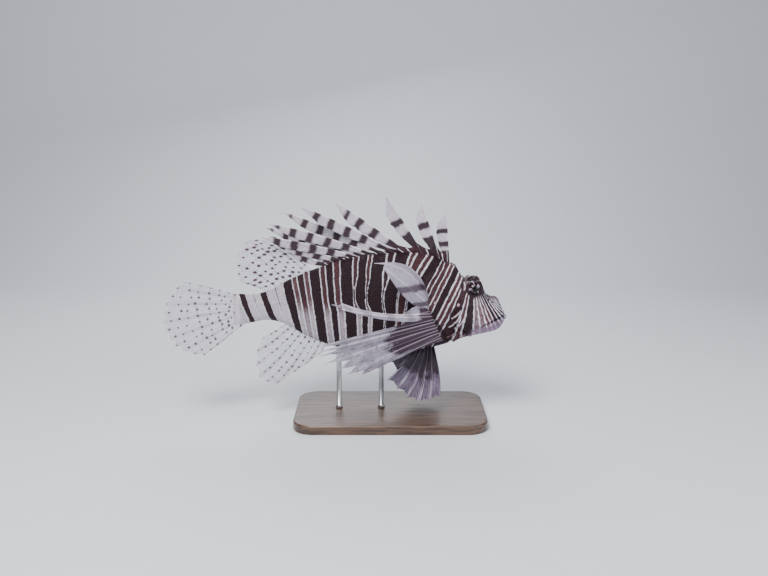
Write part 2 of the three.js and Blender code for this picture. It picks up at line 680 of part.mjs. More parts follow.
function pelvic(side) {
  const rays = Array.from({ length: PELVIC.count }, (_, j) => {
    const u = j / (PELVIC.count - 1);
    const root = V(PELVIC.footS(u), side * PELVIC.footY, PELVIC.footZ);
    const tip = V(PELVIC.tipS(u), side * PELVIC.tipY(u), PELVIC.tipZ(u));
    const [ahead, out, up] = PELVIC.bow;
    const bend = root.clone().lerp(tip, 0.5).add(V(ahead, side * out, up));
    return rayLine(root, bend, tip);
  });
  return outside(
    rayFin({
      rays,
      rows: 6,
      web: () => 5,
      webEnd: 0.93,
      shoulder: () => 1.1,
      crest: (j, t) => mix(1.8, TIP, t),
      membrane: () => 0.6,
    }),
  );
}

// The stand: a flat base and two short rods up to the belly
function standBase() {
  const [w, d, r] = [STAND.length / 2, STAND.width / 2, STAND.corner];
  const shape = new THREE.Shape();
  shape.moveTo(-w + r, -d);
  shape.lineTo(w - r, -d);
  shape.absarc(w - r, -d + r, r, -Math.PI / 2, 0, false);
  shape.absarc(w - r, d - r, r, 0, Math.PI / 2, false);
  shape.absarc(-w + r, d - r, r, Math.PI / 2, Math.PI, false);
  shape.absarc(-w + r, -d + r, r, Math.PI, 1.5 * Math.PI, false);
  const depth = STAND.thick - 2 * STAND.bevel;
  const geometry = new THREE.ExtrudeGeometry(shape, {
    depth,
    curveSegments: 3,
    bevelThickness: STAND.bevel,
    bevelSize: STAND.bevel,
    bevelOffset: -STAND.bevel,
    bevelSegments: 1,
  });
  return solidOf(geometry.translate(0, 0, STAND.bevel));
}

function standRod(x) {
  const s = SNOUT_X - x;
  const foot = STAND.thick + GAP;
  const top = AXIS_Z + bellyAt(s) + ROD_RISE;
  const rod = new THREE.CylinderGeometry(STAND.rod, STAND.rod, top - foot, 16).rotateX(Math.PI / 2);
  const at = posed(V(s, 0, 0));
  return largest(solidOf(rod.translate(x, at.y, (top + foot) / 2)).subtract(bodyWithGap));
}

const group = new THREE.Group();
function node(name, solid, colour, roughness, metalness = 0) {
  const made = solid.getMesh();
  const geometry = new THREE.BufferGeometry();
  geometry.setAttribute("position", new THREE.BufferAttribute(new Float32Array(made.vertProperties), 3));
  geometry.setIndex(new THREE.BufferAttribute(new Uint32Array(made.triVerts), 1));
  const material = new THREE.MeshStandardMaterial({ color: colour, roughness, metalness });
  const mesh = new THREE.Mesh(geometry, material);
  mesh.name = name;
  group.add(mesh);
  return mesh;
}

node("head", head, COLOURS.skin, 0.5);
node("torso", largest(torso), COLOURS.skin, 0.5);
node("tail_stem", largest(tailStem), COLOURS.skin, 0.5);
node("eye_left", eyeBall(1, EYE.radius), COLOURS.eye, 0.1);
node("eye_right", eyeBall(-1, EYE.radius), COLOURS.eye, 0.1);
node("dorsal_fin_spiny", spinyDorsal, COLOURS.fin, 0.5);
node("dorsal_fin_soft", softDorsal, COLOURS.fin, 0.5);
node("tail_fin", tailFin, COLOURS.fin, 0.5);
node("anal_fin", analFin, COLOURS.fin, 0.5);
node("pectoral_fin_left", pectoral(1), COLOURS.fin, 0.5);
node("pectoral_fin_right", pectoral(-1), COLOURS.fin, 0.5);
node("pelvic_fin_left", pelvic(1), COLOURS.fin, 0.5);
node("pelvic_fin_right", pelvic(-1), COLOURS.fin, 0.5);
node("stand_base", standBase(), COLOURS.stand, 0.6);
node("stand_rod_front", standRod(STAND.frontX), COLOURS.rod, 0.3, 1);
node("stand_rod_rear", standRod(STAND.rearX), COLOURS.rod, 0.3, 1);

export default group;
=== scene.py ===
"""A life-size red lionfish as a still museum model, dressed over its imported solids.

Lengths are millimetres in the fish's own straight frame: s runs back from the snout, y out
to the fish's left and z up from its long axis. pose() bends that frame a little and turns it
into the model's frame, in metres, with the snout along +X and the right flank facing -Y.
"""

import logging
import math
from collections.abc import Callable, Sequence
from dataclasses import dataclass, field
from enum import Enum

import bmesh
import bpy
import numpy as np
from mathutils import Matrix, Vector

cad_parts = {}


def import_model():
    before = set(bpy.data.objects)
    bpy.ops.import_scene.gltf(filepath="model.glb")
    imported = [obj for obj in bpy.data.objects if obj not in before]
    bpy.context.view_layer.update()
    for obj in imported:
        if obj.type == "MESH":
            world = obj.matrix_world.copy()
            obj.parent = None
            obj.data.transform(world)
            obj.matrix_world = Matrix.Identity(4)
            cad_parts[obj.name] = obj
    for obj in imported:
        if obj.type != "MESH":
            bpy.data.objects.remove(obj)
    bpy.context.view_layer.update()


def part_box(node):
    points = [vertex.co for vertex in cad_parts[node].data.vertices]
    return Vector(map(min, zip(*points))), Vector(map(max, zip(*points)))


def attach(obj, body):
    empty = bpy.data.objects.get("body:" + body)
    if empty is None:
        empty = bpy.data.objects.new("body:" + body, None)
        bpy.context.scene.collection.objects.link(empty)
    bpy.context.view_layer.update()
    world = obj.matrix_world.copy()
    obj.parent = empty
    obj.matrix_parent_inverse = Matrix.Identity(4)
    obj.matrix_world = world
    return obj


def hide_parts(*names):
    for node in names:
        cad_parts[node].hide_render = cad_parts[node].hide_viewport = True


LOG = logging.getLogger("red_lionfish")
MM = 0.001
BODY = "root"
SIDES = (-1, 1)
WORDS = {-1: "right", 1: "left"}
Array = np.ndarray
Pair = tuple[float, float]
Pairs = tuple[Pair, ...]
Triple = tuple[float, float, float]
Socket = bpy.types.NodeSocket
Material = bpy.types.Material
Object = bpy.types.Object
Term = Socket | float | Triple


class Slot(Enum):
    """The record's material slots."""

    SKIN = "skin"
    FIN = "fin"
    EYE = "eye"
    STAND_BASE = "stand_base"
    STAND_ROD = "stand_rod"


class Curve:
    """A smooth curve through a few points, with no swing between them."""

    def __init__(self, *points: Pair) -> None:
        """Work out the slope at each point.

        Args:
            points: The (x, y) points, in rising order of x.
        """
        self.x, self.y = np.array(points, float).T
        rise = np.diff(self.y) / np.diff(self.x)
        self.slope = np.append(rise, rise[-1])
        before, after = rise[:-1], rise[1:]
        turning = before * after <= 0
        total = np.where(turning, 1.0, before + after)
        self.slope[1:-1] = np.where(turning, 0.0, 2 * before * after / total)

    def __call__(self, x: Array | float) -> Array:
        """Read the curve, held at its end values outside its points.

        Args:
            x: Where to read it.

        Returns:
            The curve's value at each x.
        """
        x = np.clip(np.asarray(x, float), self.x[0], self.x[-1])
        i = np.clip(np.searchsorted(self.x, x, side="left") - 1, 0, len(self.x) - 2)
        width = self.x[i + 1] - self.x[i]
        t = (x - self.x[i]) / width
        t2, t3 = t * t, t * t * t
        start = self.y[i] * (2 * t3 - 3 * t2 + 1) + self.slope[i] * width * (t3 - 2 * t2 + t)
        return start + self.y[i + 1] * (3 * t2 - 2 * t3) + self.slope[i + 1] * width * (t3 - t2)


def smooth(low: float, high: float, x: Array) -> Array:
    """Rise softly from 0 at low to 1 at high, or fall where high is the smaller.

    Args:
        low: Where the rise starts.
        high: Where it ends.
        x: Where to read it.

    Returns:
        Shares from 0 to 1.
    """
    t = np.clip((x - low) / (high - low), 0, 1)
    return t * t * (3 - 2 * t)


def mix(a: Array | float, b: Array | float, share: Array | float) -> Array:
    """Go from a to b by share."""
    return a + (b - a) * share


def hump(x: Array, reach: float) -> Array:
    """A soft hump, 1 at x = 0 and gone beyond about twice its reach."""
    return np.exp(-((x / reach) ** 2))


def unit(v: Array) -> Array:
    """Scale vectors to length 1."""
    return v / np.maximum(np.linalg.norm(v, axis=-1, keepdims=True), 1e-9)


def bow(root: Array, bend: Array, tip: Array, t: Array) -> Array:
    """Follow the curve that leaves root towards bend and comes to tip from there."""
    return (1 - t) ** 2 * root + 2 * t * (1 - t) * bend + t**2 * tip


def point(s: Array | float, y: Array | float, z: Array | float) -> Array:
    """Join three coordinates into points of the straight frame."""
    return np.stack(np.broadcast_arrays(*(np.asarray(v, float) for v in (s, y, z))), axis=-1)


def ripple(x: Array, y: Array, seed: int) -> Array:
    """A slow, irregular wave over two coordinates, from about -1 to 1.

    Args:
        x: First coordinate, in wavelengths.
        y: Second coordinate, in wavelengths.
        seed: Picks the wave.

    Returns:
        The height of the wave.
    """
    draw = np.random.default_rng(seed)
    total = np.zeros(np.broadcast(x, y).shape)
    for _ in range(4):
        angle, phase, pace = draw.uniform(0, 2 * np.pi), draw.uniform(0, 2 * np.pi), draw.uniform(0.7, 1.5)
        total = total + np.sin(2 * np.pi * pace * (x * np.cos(angle) + y * np.sin(angle)) + phase)
    return total / 4


def spline(points: Sequence[Pair], steps: int) -> Array:
    """Draw a smooth line through points of the side view.

    Args:
        points: The (s, z) points that it passes through.
        steps: How many pieces each stretch gets.

    Returns:
        The points of the line.
    """
    p = np.array(points, float)
    p = np.vstack([2 * p[0] - p[1], p, 2 * p[-1] - p[-2]])
    t = np.linspace(0, 1, steps, endpoint=False)[:, None]
    runs = []
    for a, b, c, d in zip(p, p[1:], p[2:], p[3:]):
        runs.append(b + 0.5 * t * (c - a + t * (2 * a - 5 * b + 4 * c - d + t * (3 * (b - c) + d - a))))
    return np.vstack([*runs, p[-2:-1]])


def to_line(s: Array, z: Array, line: Array) -> tuple[Array, Array]:
    """Measure from points of the side view to a line.

    Args:
        s: How far behind the snout the points are.
        z: How far above the axis they are.
        line: The line's points.

    Returns:
        The distance, positive on the line's left, and the share of the line at its nearest point.
    """
    best = np.full(np.shape(s), np.inf)
    side = np.ones(np.shape(s))
    share = np.zeros(np.shape(s))
    for i, (a, b) in enumerate(zip(line, line[1:])):
        run = b - a
        t = np.clip(((s - a[0]) * run[0] + (z - a[1]) * run[1]) / (run @ run), 0, 1)
        away_s, away_z = s - a[0] - t * run[0], z - a[1] - t * run[1]
        far = np.hypot(away_s, away_z)
        near = far < best
        side = np.where(near, np.sign(run[0] * away_z - run[1] * away_s), side)
        share = np.where(near, (i + t) / (len(line) - 1), share)
        best = np.where(near, far, best)
    return best * np.where(side == 0, 1, side), share


@dataclass(frozen=True)
class HeadForm:
    """A soft swelling or hollow of the head."""

    at: Triple
    reach: Triple
    out: float
    up: float


@dataclass(frozen=True)
class Bend:
    """How the straight frame is bent, and where it stands over the stand."""

    snout_x: float = 100
    axis_z: float = 105
    length: float = 230
    tail_swing: float = 7
    swing_from: float = 120
    head_turn: float = 4
    turn_before: float = 80

    def pose(self, p: Array) -> Array:
        """Take points of the straight frame to the model's frame.

        Args:
            p: Points, in millimetres.

        Returns:
            The posed points, in metres.
        """
        s, y, z = p[..., 0], p[..., 1], p[..., 2]
        tail = np.maximum(s - self.swing_from, 0) / (self.length - self.swing_from)
        head = np.maximum(self.turn_before - s, 0) / self.turn_before
        swing = self.tail_swing * tail**2 + self.head_turn * head**2
        return point(self.snout_x - s, y - swing, self.axis_z + z) * MM


@dataclass(frozen=True)
class BodyForm:
    """The smooth form of head, trunk and tail stem."""

    back: Curve = Curve(
        (-2, -10), (2, -1), (8, 5.5), (15, 9.5), (22, 16), (30, 21), (38, 27.5), (46, 34), (56, 40),
        (68, 43.8), (84, 46), (104, 45), (131, 42), (163, 32.5), (187, 23), (210, 11.5), (222, 9.5),
        (234, 10.5),
    )
    belly: Curve = Curve(
        (-2, -14), (4, -22), (20, -27), (34, -30), (50, -36), (70, -42), (92, -46), (112, -46.5),
        (138, -42.5), (160, -36), (178, -27.5), (196, -17), (210, -14.5), (222, -16.5), (234, -18),
    )
    half_width: Curve = Curve(
        (-2, 6.5), (6, 11.5), (18, 15.5), (34, 19.5), (54, 23), (76, 24), (98, 23), (124, 19.5),
        (152, 14.5), (180, 9.5), (206, 6), (226, 4), (234, 3),
    )
    head_box: Curve = Curve((2, 1), (16, 0.8), (32, 0.74), (48, 0.85), (72, 1))
    waist: float = 0.44
    round_above: float = 1.08
    round_below: float = 0.94
    nose_round: float = 7
    nose_tip: float = -2
    tail_round: float = 5
    tail_end: float = 237
    forms: tuple[HeadForm, ...] = (
        HeadForm((29, 12, 14), (11.5, 8, 10), 3.2, 1.5),  # orbit
        HeadForm((21, 8, 16.7), (5.9, 5.5, 6.2), 2.2, 8.9),  # brow
        HeadForm((28, 0, 19), (12, 4.5, 8), 0, -3),  # hollow between the brows
        HeadForm((35.5, 0, 25), (4.5, 9, 7), 0, -3.2),  # notch behind them
        HeadForm((43.5, 6, 32), (4.5, 4, 6), 0.5, 3.2),  # crest of the nape
        HeadForm((7, 0, 4), (5, 5, 5), 0, 1.8),  # hump of the snout
        HeadForm((15, 9, 7), (5, 7, 6), -1.8, -5),  # hollow behind it
        HeadForm((6, 9, -4), (7, 6, 6), 1.6, 0),  # muzzle
        HeadForm((24, 16, -17), (6, 6, 5), 1.4, 0),  # corner of the jaw
        HeadForm((42, 20, -12), (13, 9, 11), 2.4, 0),  # cheek
        HeadForm((37, 19, 1), (13, 8, 2.6), 1.3, 0),  # ridge of the cheek
        HeadForm((59, 22, 4), (11, 9, 17), 2.4, 0),  # gill cover
    )

    def at(self, s: Array, turn: Array) -> Array:
        """Find points of the surface.

        Args:
            s: How far behind the snout.
            turn: Angle round the section, from the back over the left side.

        Returns:
            Points of the straight frame.
        """
        s, turn = np.broadcast_arrays(np.asarray(s, float), np.asarray(turn, float))
        nose = np.clip((self.nose_round - s) / (self.nose_round - self.nose_tip), 0, 1)
        tail = np.clip((s - self.tail_end + self.tail_round) / self.tail_round, 0, 1)
        keep = np.sqrt(1 - nose**2)
        top, bottom = self.back(s), self.belly(s)
        waist = mix(bottom, top, self.waist)
        c, side = np.cos(turn), np.sin(turn)
        reach = np.where(c > 0, top - waist, waist - bottom)
        power = np.where(c > 0, self.round_above, self.round_below)
        height = waist + keep * reach * np.sign(c) * np.abs(c) ** power
        fullness = np.where(c > 0, self.head_box(s), 1)
        across = keep * np.sqrt(1 - tail**2) * self.half_width(s)
        across = across * np.sign(side) * np.abs(side) ** fullness
        y, z = across.copy(), height.copy()
        for form in self.forms:
            away = [(s, form.at[0]), (np.abs(across), form.at[1]), (height, form.at[2])]
            share = np.exp(-sum(((v - c0) / r) ** 2 for (v, c0), r in zip(away, form.reach)))
            y += np.sign(across) * form.out * share
            z += form.up * share
        return point(s, y, z)

    def flank(self, s: Array, z: Array) -> Array:
        """Find how far out the left flank is at a station and height."""
        s, z = np.broadcast_arrays(np.asarray(s, float), np.asarray(z, float))
        low, high = np.zeros(s.shape), np.full(s.shape, np.pi)
        for _ in range(28):
            turn = (low + high) / 2
            above = self.at(s, turn)[..., 2] > z
            low, high = np.where(above, turn, low), np.where(above, high, turn)
        return self.at(s, (low + high) / 2)[..., 1]

    def normal(self, s: Array, turn: Array) -> Array:
        """Find the surface's outward direction at a station and angle."""
        small = 0.02
        along = self.at(s + small, turn) - self.at(s - small, turn)
        round_it = self.at(s, turn + small) - self.at(s, turn - small)
        return unit(np.cross(along, round_it))


FORM = BodyForm()
BEND = Bend()


@dataclass(frozen=True)
class Markings:
    """Where the bars and the thin white lines of the flanks and head run.

    A line that crosses the long axis at station p runs through s = p - lean z - bend z², with
    the bend only above the axis, and low on the flank it steps forward by step.
    """

    lean: Curve = Curve(
        (-6, -1.7), (5, -1.25), (13, -0.62), (21, -0.3), (30, 0.05), (44, 0.4), (53, 0.52), (70, 0.45),
        (78, 0.33), (88, 0.17), (100, 0.07), (120, 0.03), (142, -0.05), (160, -0.09), (175, -0.15),
        (186, -0.22), (207, -0.36), (228, -0.36),
    )
    bend: Curve = Curve(
        (44, 0), (60, 0.001), (70, 0.003), (88, 0.0075), (100, 0.004), (120, 0.0015), (142, 0.0005),
        (160, -0.001), (186, -0.001), (207, 0),
    )
    step: Curve = Curve((90, 0), (106, 3), (120, 4), (131, 4.3), (142, 2.7), (155, 1.2), (167, 0))
    step_from: float = 8
    step_to: float = -8
    # Each white line: its station on the axis, its half width, and how dark the gap behind it is.
    lines: tuple[Triple, ...] = (
        (13.3, 0.33, 0.85), (16.3, 0.37, 0.55), (18.8, 0.41, 0.5), (21.4, 0.41, 0.42), (24.8, 0.49, 0.4),
        (28.0, 0.45, 0.97), (34.4, 0.45, 0.6), (38.0, 0.49, 0.8), (46.8, 0.57, 0.66), (51.4, 0.74, 0.62),
        (56.4, 0.78, 0.98), (63.8, 0.54, 0.62), (68.2, 0.5, 0.7), (73.0, 0.43, 0.7), (76.4, 0.43, 0.98),
        (85.0, 0.52, 0.66), (89.5, 0.45, 0.68), (93.7, 0.45, 0.62), (96.4, 0.45, 1.0), (104.6, 0.38, 0.8),
        (109.9, 0.38, 1.0), (119.8, 0.38, 0.62), (122.8, 0.38, 0.94), (129.3, 0.38, 0.7), (133.0, 0.41, 1.0),
        (142.7, 0.49, 0.6), (147.7, 0.49, 0.88), (153.7, 0.49, 0.66), (158.2, 0.49, 1.0),
        (167.5, 0.49, 0.5), (171.5, 0.49, 0.76), (177.2, 0.49, 0.5), (181.3, 0.45, 1.0),
        (190.0, 0.6, 0.1), (195.3, 0.3, 0.42), (197.2, 0.6, 0.1), (204.0, 0.3, 0.86),
        (211.0, 0.6, 0.06), (216.2, 0.3, 0.38), (218.0, 0.6, 0.06), (223.6, 0.3, 0.84),
        (229.6, 0.6, 0.08), (262.0, 0.38, 0.08),
    )
    snout_from: float = -34
    snout_pitch: float = 1.95
    snout_half: float = 0.38
    snout_tones: Pair = (0.82, 0.95)
    low_pale: float = 0.62  # how much the gaps between the bars pale low on the flank
    # Pairs of lines that close as they fall, each by its first line's station, and whether
    # the pair opens again below the axis.
    closing: tuple[tuple[float, bool], ...] = (
        (85.0, False), (93.7, False), (104.6, False), (119.8, True), (129.3, True),
    )
    open_above: float = 30
    closed_at: float = 12
    closed_share: float = 0.2

    def reach(self, p: Array, z: Array) -> Array:
        """Find the station that the line from station p of the long axis reaches at height z."""
        low_down = smooth(self.step_from, self.step_to, z)
        return p - self.lean(p) * z - self.bend(p) * np.maximum(z, 0) ** 2 - self.step(p) * low_down

    def origin(self, s: Array, z: Array) -> Array:
        """Find the station at which the line through a point crosses the long axis."""
        low, high = np.full(np.shape(s), -40.0), np.full(np.shape(s), 280.0)
        for _ in range(26):
            p = (low + high) / 2
            short = self.reach(p, z) < s
            low, high = np.where(short, p, low), np.where(short, high, p)
        return (low + high) / 2

    def read(self, place: Array) -> dict[str, Array]:
        """Work out what the skin's finish needs to know at each point.

        Args:
            place: Points of the straight frame.

        Returns:
            The named values: stripe counts the lines, width is a line's half width as a share
            of the gap beside it, tone is the darkness, and place the point itself.
        """
        s, z = place[..., 0], place[..., 2]
        p = self.origin(s, z) + 0.35 * ripple(s / 23, z / 17, 5)
        p = p + 0.4 * ripple(s / 9, z / 8, 6) * smooth(74, 50, s) * smooth(4, 20, s)
        snout = np.arange(self.snout_from, self.lines[0][0] - 0.8, self.snout_pitch)
        stations = [*snout.tolist(), *(line[0] for line in self.lines)]
        halves = np.array([*np.full(len(snout), self.snout_half), *(line[1] for line in self.lines)])
        fine = [self.snout_tones[i % 2] for i in range(len(snout))]
        tones = np.array([*fine, *(line[2] for line in self.lines)])
        first = dict(self.closing)
        shut = smooth(self.open_above, self.closed_at, z) * (1 - self.closed_share)
        stripe = np.zeros(p.shape)
        gaps = []
        at = [self._closed(stations, i, first, shut, z) for i in range(len(stations))]
        for low, high in zip(at, at[1:]):
            stripe += np.clip((p - low) / (high - low), 0, 1)
            gaps.append(float(np.mean(high - low)))
        gap = np.clip(stripe.astype(int), 0, len(stations) - 2)
        nearest = np.clip(np.round(stripe).astype(int), 0, len(stations) - 1)
        low_down = smooth(10, -12, z) * smooth(108, 115, p)
        tone = tones[gap]
        tone = np.where(tone < 0.8, tone * (1 - self.low_pale * low_down), tone)
        spread = np.clip(self.reach(p + 0.5, z) - self.reach(p - 0.5, z), 0.7, 2.5)
        spread = mix(1, spread, smooth(40, 50, p))
        width = halves[nearest] * (1 + 0.5 * low_down) / spread / np.array(gaps)[gap]
        return {"stripe": stripe, "width": width, "tone": tone, "place": place}

    @staticmethod
    def _closed(stations: list[float], i: int, first: dict[float, bool], shut: Array, z: Array) -> Array:
        """Move line i towards its partner where the pair closes.

        Args:
            stations: Each line's station.
            i: The line's number.
            first: The first station of each closing pair, and whether it opens again.
            shut: How far a pair is shut at each point.
            z: Each point's height.

        Returns:
            The line's station at each point.
        """
        here = stations[i]
        for other in (i, i - 1):
            if other >= 0 and stations[other] in first:
                middle = (stations[other] + stations[other + 1]) / 2
                share = shut * smooth(-4, 8, z) if first[stations[other]] else shut
                return mix(here, middle, share)
        return np.full(z.shape, here)


MARKS = Markings()


@dataclass
class Shell:
    """Points, faces and point values that are gathered into one mesh."""

    points: list[Array] = field(default_factory=list)
    faces: list[list[int]] = field(default_factory=list)
    values: dict[str, list[Array]] = field(default_factory=dict)
    patches: list[Array] = field(default_factory=list)
    count: int = 0

    def add(self, points: Array, faces: Array, **values: Array) -> None:
        """Add a surface.

        Args:
            points: Its points in the model's frame, in metres.
            faces: Its faces, as rows of indices into points.
            values: Named values, one per point, or one vector per point.
        """
        self.points.append(points.reshape(-1, 3))
        self.faces.extend((np.asarray(faces) + self.count).tolist())
        for name, value in values.items():
            self.values.setdefault(name, []).append(value)
        self.count += len(self.points[-1])

    def build(self, name: str, finish: Material, slot: Slot, weld: bool = False) -> Object:
        """Make the mesh object, dress it and let it ride on the body.

        Args:
            name: Its name.
            finish: Its material.
            slot: The record's slot for its finish; not used.
            weld: Whether points at one place are merged, and loose ones dropped.

        Returns:
            The new object.
        """
        mesh = bpy.data.meshes.new(name)
        mesh.from_pydata(np.vstack(self.points).tolist(), [], self.faces)
        for label, parts in self.values.items():
            if parts[0].ndim > 1 and parts[0].shape[-1] == 3:
                vectors = mesh.attributes.new(label, "FLOAT_VECTOR", "POINT")
                vectors.data.foreach_set("vector", np.vstack([p.reshape(-1, 3) for p in parts]).ravel())
            else:
                numbers = mesh.attributes.new(label, "FLOAT", "POINT")
                numbers.data.foreach_set("value", np.concatenate([np.ravel(p) for p in parts]))
        if self.patches:
            layer = mesh.uv_layers.new(name="OFBake")
            corner = np.zeros(len(mesh.loops), int)
            mesh.loops.foreach_get("vertex_index", corner)
            layer.data.foreach_set("uv", np.vstack(self.patches)[corner].ravel())
        self._tidy(mesh, weld)
        mesh.shade_smooth()
        mesh.materials.append(finish)
        made = bpy.data.objects.new(name, mesh)
        bpy.context.scene.collection.objects.link(made)
        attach(made, BODY)
        LOG.info("%s: %d faces", name, len(mesh.polygons))
        return made

    @staticmethod
    def _tidy(mesh: bpy.types.Mesh, weld: bool) -> None:
        """Turn every face outward, after merging points at one place if weld is set."""
        work = bmesh.new()
        work.from_mesh(mesh)
        if weld:
            bmesh.ops.remove_doubles(work, verts=work.verts, dist=0.004 * MM)
            bmesh.ops.dissolve_degenerate(work, edges=work.edges, dist=0.002 * MM)
            loose = [v for v in work.verts if not v.link_faces]
            bmesh.ops.delete(work, geom=loose, context="VERTS")
        bmesh.ops.recalc_face_normals(work, faces=work.faces)
        work.to_mesh(mesh)
        work.free()


def grid(rows: int, columns: int, closed: bool = False) -> Array:
    """List the quads of a grid of points that is numbered row by row.

    Args:
        rows: How many rows of points there are.
        columns: How many points a row has.
        closed: Whether each row is a ring.

    Returns:
        The quads, one per row.
    """
    r, c = np.meshgrid(np.arange(rows - 1), np.arange(columns if closed else columns - 1), indexing="ij")
    near, far = r * columns, (r + 1) * columns
    after = (c + 1) % columns
    return np.stack([near + c, near + after, far + after, far + c], axis=-1).reshape(-1, 4)


def both_faces(columns: int, rows: int, free: Sequence[int] = (0, 0)) -> Array:
    """List the quads of a sheet's two faces and of the walls between their edges.

    Args:
        columns: Points across each face.
        rows: Points along it.
        free: For the first and the last column, the first row that stands free.

    Returns:
        The quads of the whole sheet.
    """
    front, far = grid(columns, rows), columns * rows
    index = np.arange(far).reshape(columns, rows)
    runs = [index[:, 0], index[::-1, -1], index[0, free[0]:][::-1], index[-1, free[1]:]]
    quads = [front, front[:, ::-1] + far]
    for run in runs:
        quads.append(np.stack([run[:-1], run[:-1] + far, run[1:] + far, run[1:]], axis=-1))
    return np.vstack(quads)


def sheet(middle: Array, thick: Array) -> tuple[Array, Array]:
    """Give a grid of points on a middle surface two faces and the walls round them.

    Args:
        middle: Points of the straight frame, by column and row.
        thick: The thickness at each, in millimetres.

    Returns:
        The points of both faces, in metres, and the quads.
    """
    out = unit(np.cross(np.gradient(middle, axis=0), np.gradient(middle, axis=1)))
    lift = out * thick[..., None] / 2
    points = np.stack([BEND.pose(middle + lift), BEND.pose(middle - lift)])
    return points.reshape(-1, 3), both_faces(*middle.shape[:2])


class Wiring:
    """The shader nodes of one procedural material."""

    def __init__(self, name: str) -> None:
        """Start a material with one principled shader.

        Args:
            name: The material's name.
        """
        self.material = bpy.data.materials.new(name)
        self.material.use_nodes = True
        self.nodes = self.material.node_tree.nodes
        self.nodes.clear()
        self.shader = self.nodes.new("ShaderNodeBsdfPrincipled")
        out = self.nodes.new("ShaderNodeOutputMaterial")
        self.join(self.shader.outputs[0], out.inputs["Surface"])

    def join(self, source: Term, target: Socket) -> None:
        """Link a socket to target, or set target to a constant."""
        if isinstance(source, Socket):
            self.material.node_tree.links.new(source, target)
        elif isinstance(source, tuple) and len(target.default_value) == 4:
            target.default_value = (*source, 1)
        else:
            target.default_value = source

    def fill(self, node: bpy.types.Node, terms: dict[str, Term]) -> None:
        """Give a node's named inputs their terms."""
        for label, term in terms.items():
            self.join(term, node.inputs[label])

    def value(self, name: str, vector: bool = False) -> Socket:
        """Read one of the mesh's named values."""
        node = self.nodes.new("ShaderNodeAttribute")
        node.attribute_name = name
        return node.outputs["Vector" if vector else "Fac"]

    def own_place(self) -> Socket:
        """Read the place in the object's own coordinates."""
        return self.nodes.new("ShaderNodeTexCoord").outputs["Object"]

    def maths(self, kind: str, *terms: Term) -> Socket:
        """Combine numbers with a Math node."""
        node = self.nodes.new("ShaderNodeMath")
        node.operation = kind
        for term, socket in zip(terms, node.inputs):
            self.join(term, socket)
        return node.outputs[0]

    def times(self, a: Term, b: Term) -> Socket:
        """Multiply two numbers."""
        return self.maths("MULTIPLY", a, b)

    def plus(self, a: Term, b: Term) -> Socket:
        """Add two numbers."""
        return self.maths("ADD", a, b)

    def minus(self, a: Term, b: Term) -> Socket:
        """Subtract b from a."""
        return self.maths("SUBTRACT", a, b)

    def rise(self, x: Term, low: Term, high: Term, start: float = 0, end: float = 1) -> Socket:
        """Go softly from start to end as x goes from low to high."""
        node = self.nodes.new("ShaderNodeMapRange")
        node.interpolation_type = "SMOOTHSTEP"
        self.fill(node, {"Value": x, "From Min": low, "From Max": high, "To Min": start, "To Max": end})
        return node.outputs[0]

    def noise(self, where: Socket, scale: float, detail: float = 3, rough: float = 0.55) -> Socket:
        """Read soft noise, about 0.5 on average."""
        node = self.nodes.new("ShaderNodeTexNoise")
        self.fill(node, {"Vector": where, "Scale": scale, "Detail": detail, "Roughness": rough})
        return node.outputs[0]

    def edges(self, where: Socket, scale: float) -> Socket:
        """Read the distance to the edges between cells round scattered points."""
        node = self.nodes.new("ShaderNodeTexVoronoi")
        node.feature = "DISTANCE_TO_EDGE"
        self.fill(node, {"Vector": where, "Scale": scale})
        return node.outputs["Distance"]

    def stretch(self, where: Socket, by: Triple) -> Socket:
        """Scale a place along its three axes."""
        node = self.nodes.new("ShaderNodeVectorMath")
        node.operation = "MULTIPLY"
        self.join(where, node.inputs[0])
        node.inputs[1].default_value = by
        return node.outputs[0]

    def joined(self, x: Term, y: Term, z: Term = 0.0) -> Socket:
        """Make a place of three numbers."""
        node = self.nodes.new("ShaderNodeCombineXYZ")
        for term, socket in zip((x, y, z), node.inputs):
            self.join(term, socket)
        return node.outputs[0]

    def chance(self, where: Socket) -> Socket:
        """Draw a random number for each place."""
        node = self.nodes.new("ShaderNodeTexWhiteNoise")
        self.join(where, node.inputs["Vector"])
        return node.outputs["Value"]

    def shine(self, **levels: float) -> None:
        """Set numbers of the shader, each named by its input's label with _ for a space."""
        for label, level in levels.items():
            self.shader.inputs[label.replace("_", " ")].default_value = level

    def tint(self, share: Term, a: Term, b: Term) -> Socket:
        """Blend from colour a to colour b by share."""
        node = self.nodes.new("ShaderNodeMix")
        node.data_type = "RGBA"
        for term, i in ((share, 0), (a, 6), (b, 7)):
            self.join(term, node.inputs[i])
        return node.outputs[2]

    def dress(self, colour: Term, rough: Term, height: Socket, depth: float) -> Material:
        """Give the shader its colour, roughness and relief.

        Args:
            colour: Base colour.
            rough: Roughness.
            height: Relief from 0 to 1.
            depth: How deep the relief is, in millimetres.

        Returns:
            The finished material.
        """
        bump = self.nodes.new("ShaderNodeBump")
        self.fill(bump, {"Height": height, "Distance": depth * MM})
        self.fill(self.shader, {"Base Color": colour, "Roughness": rough, "Normal": bump.outputs[0]})
        return self.material


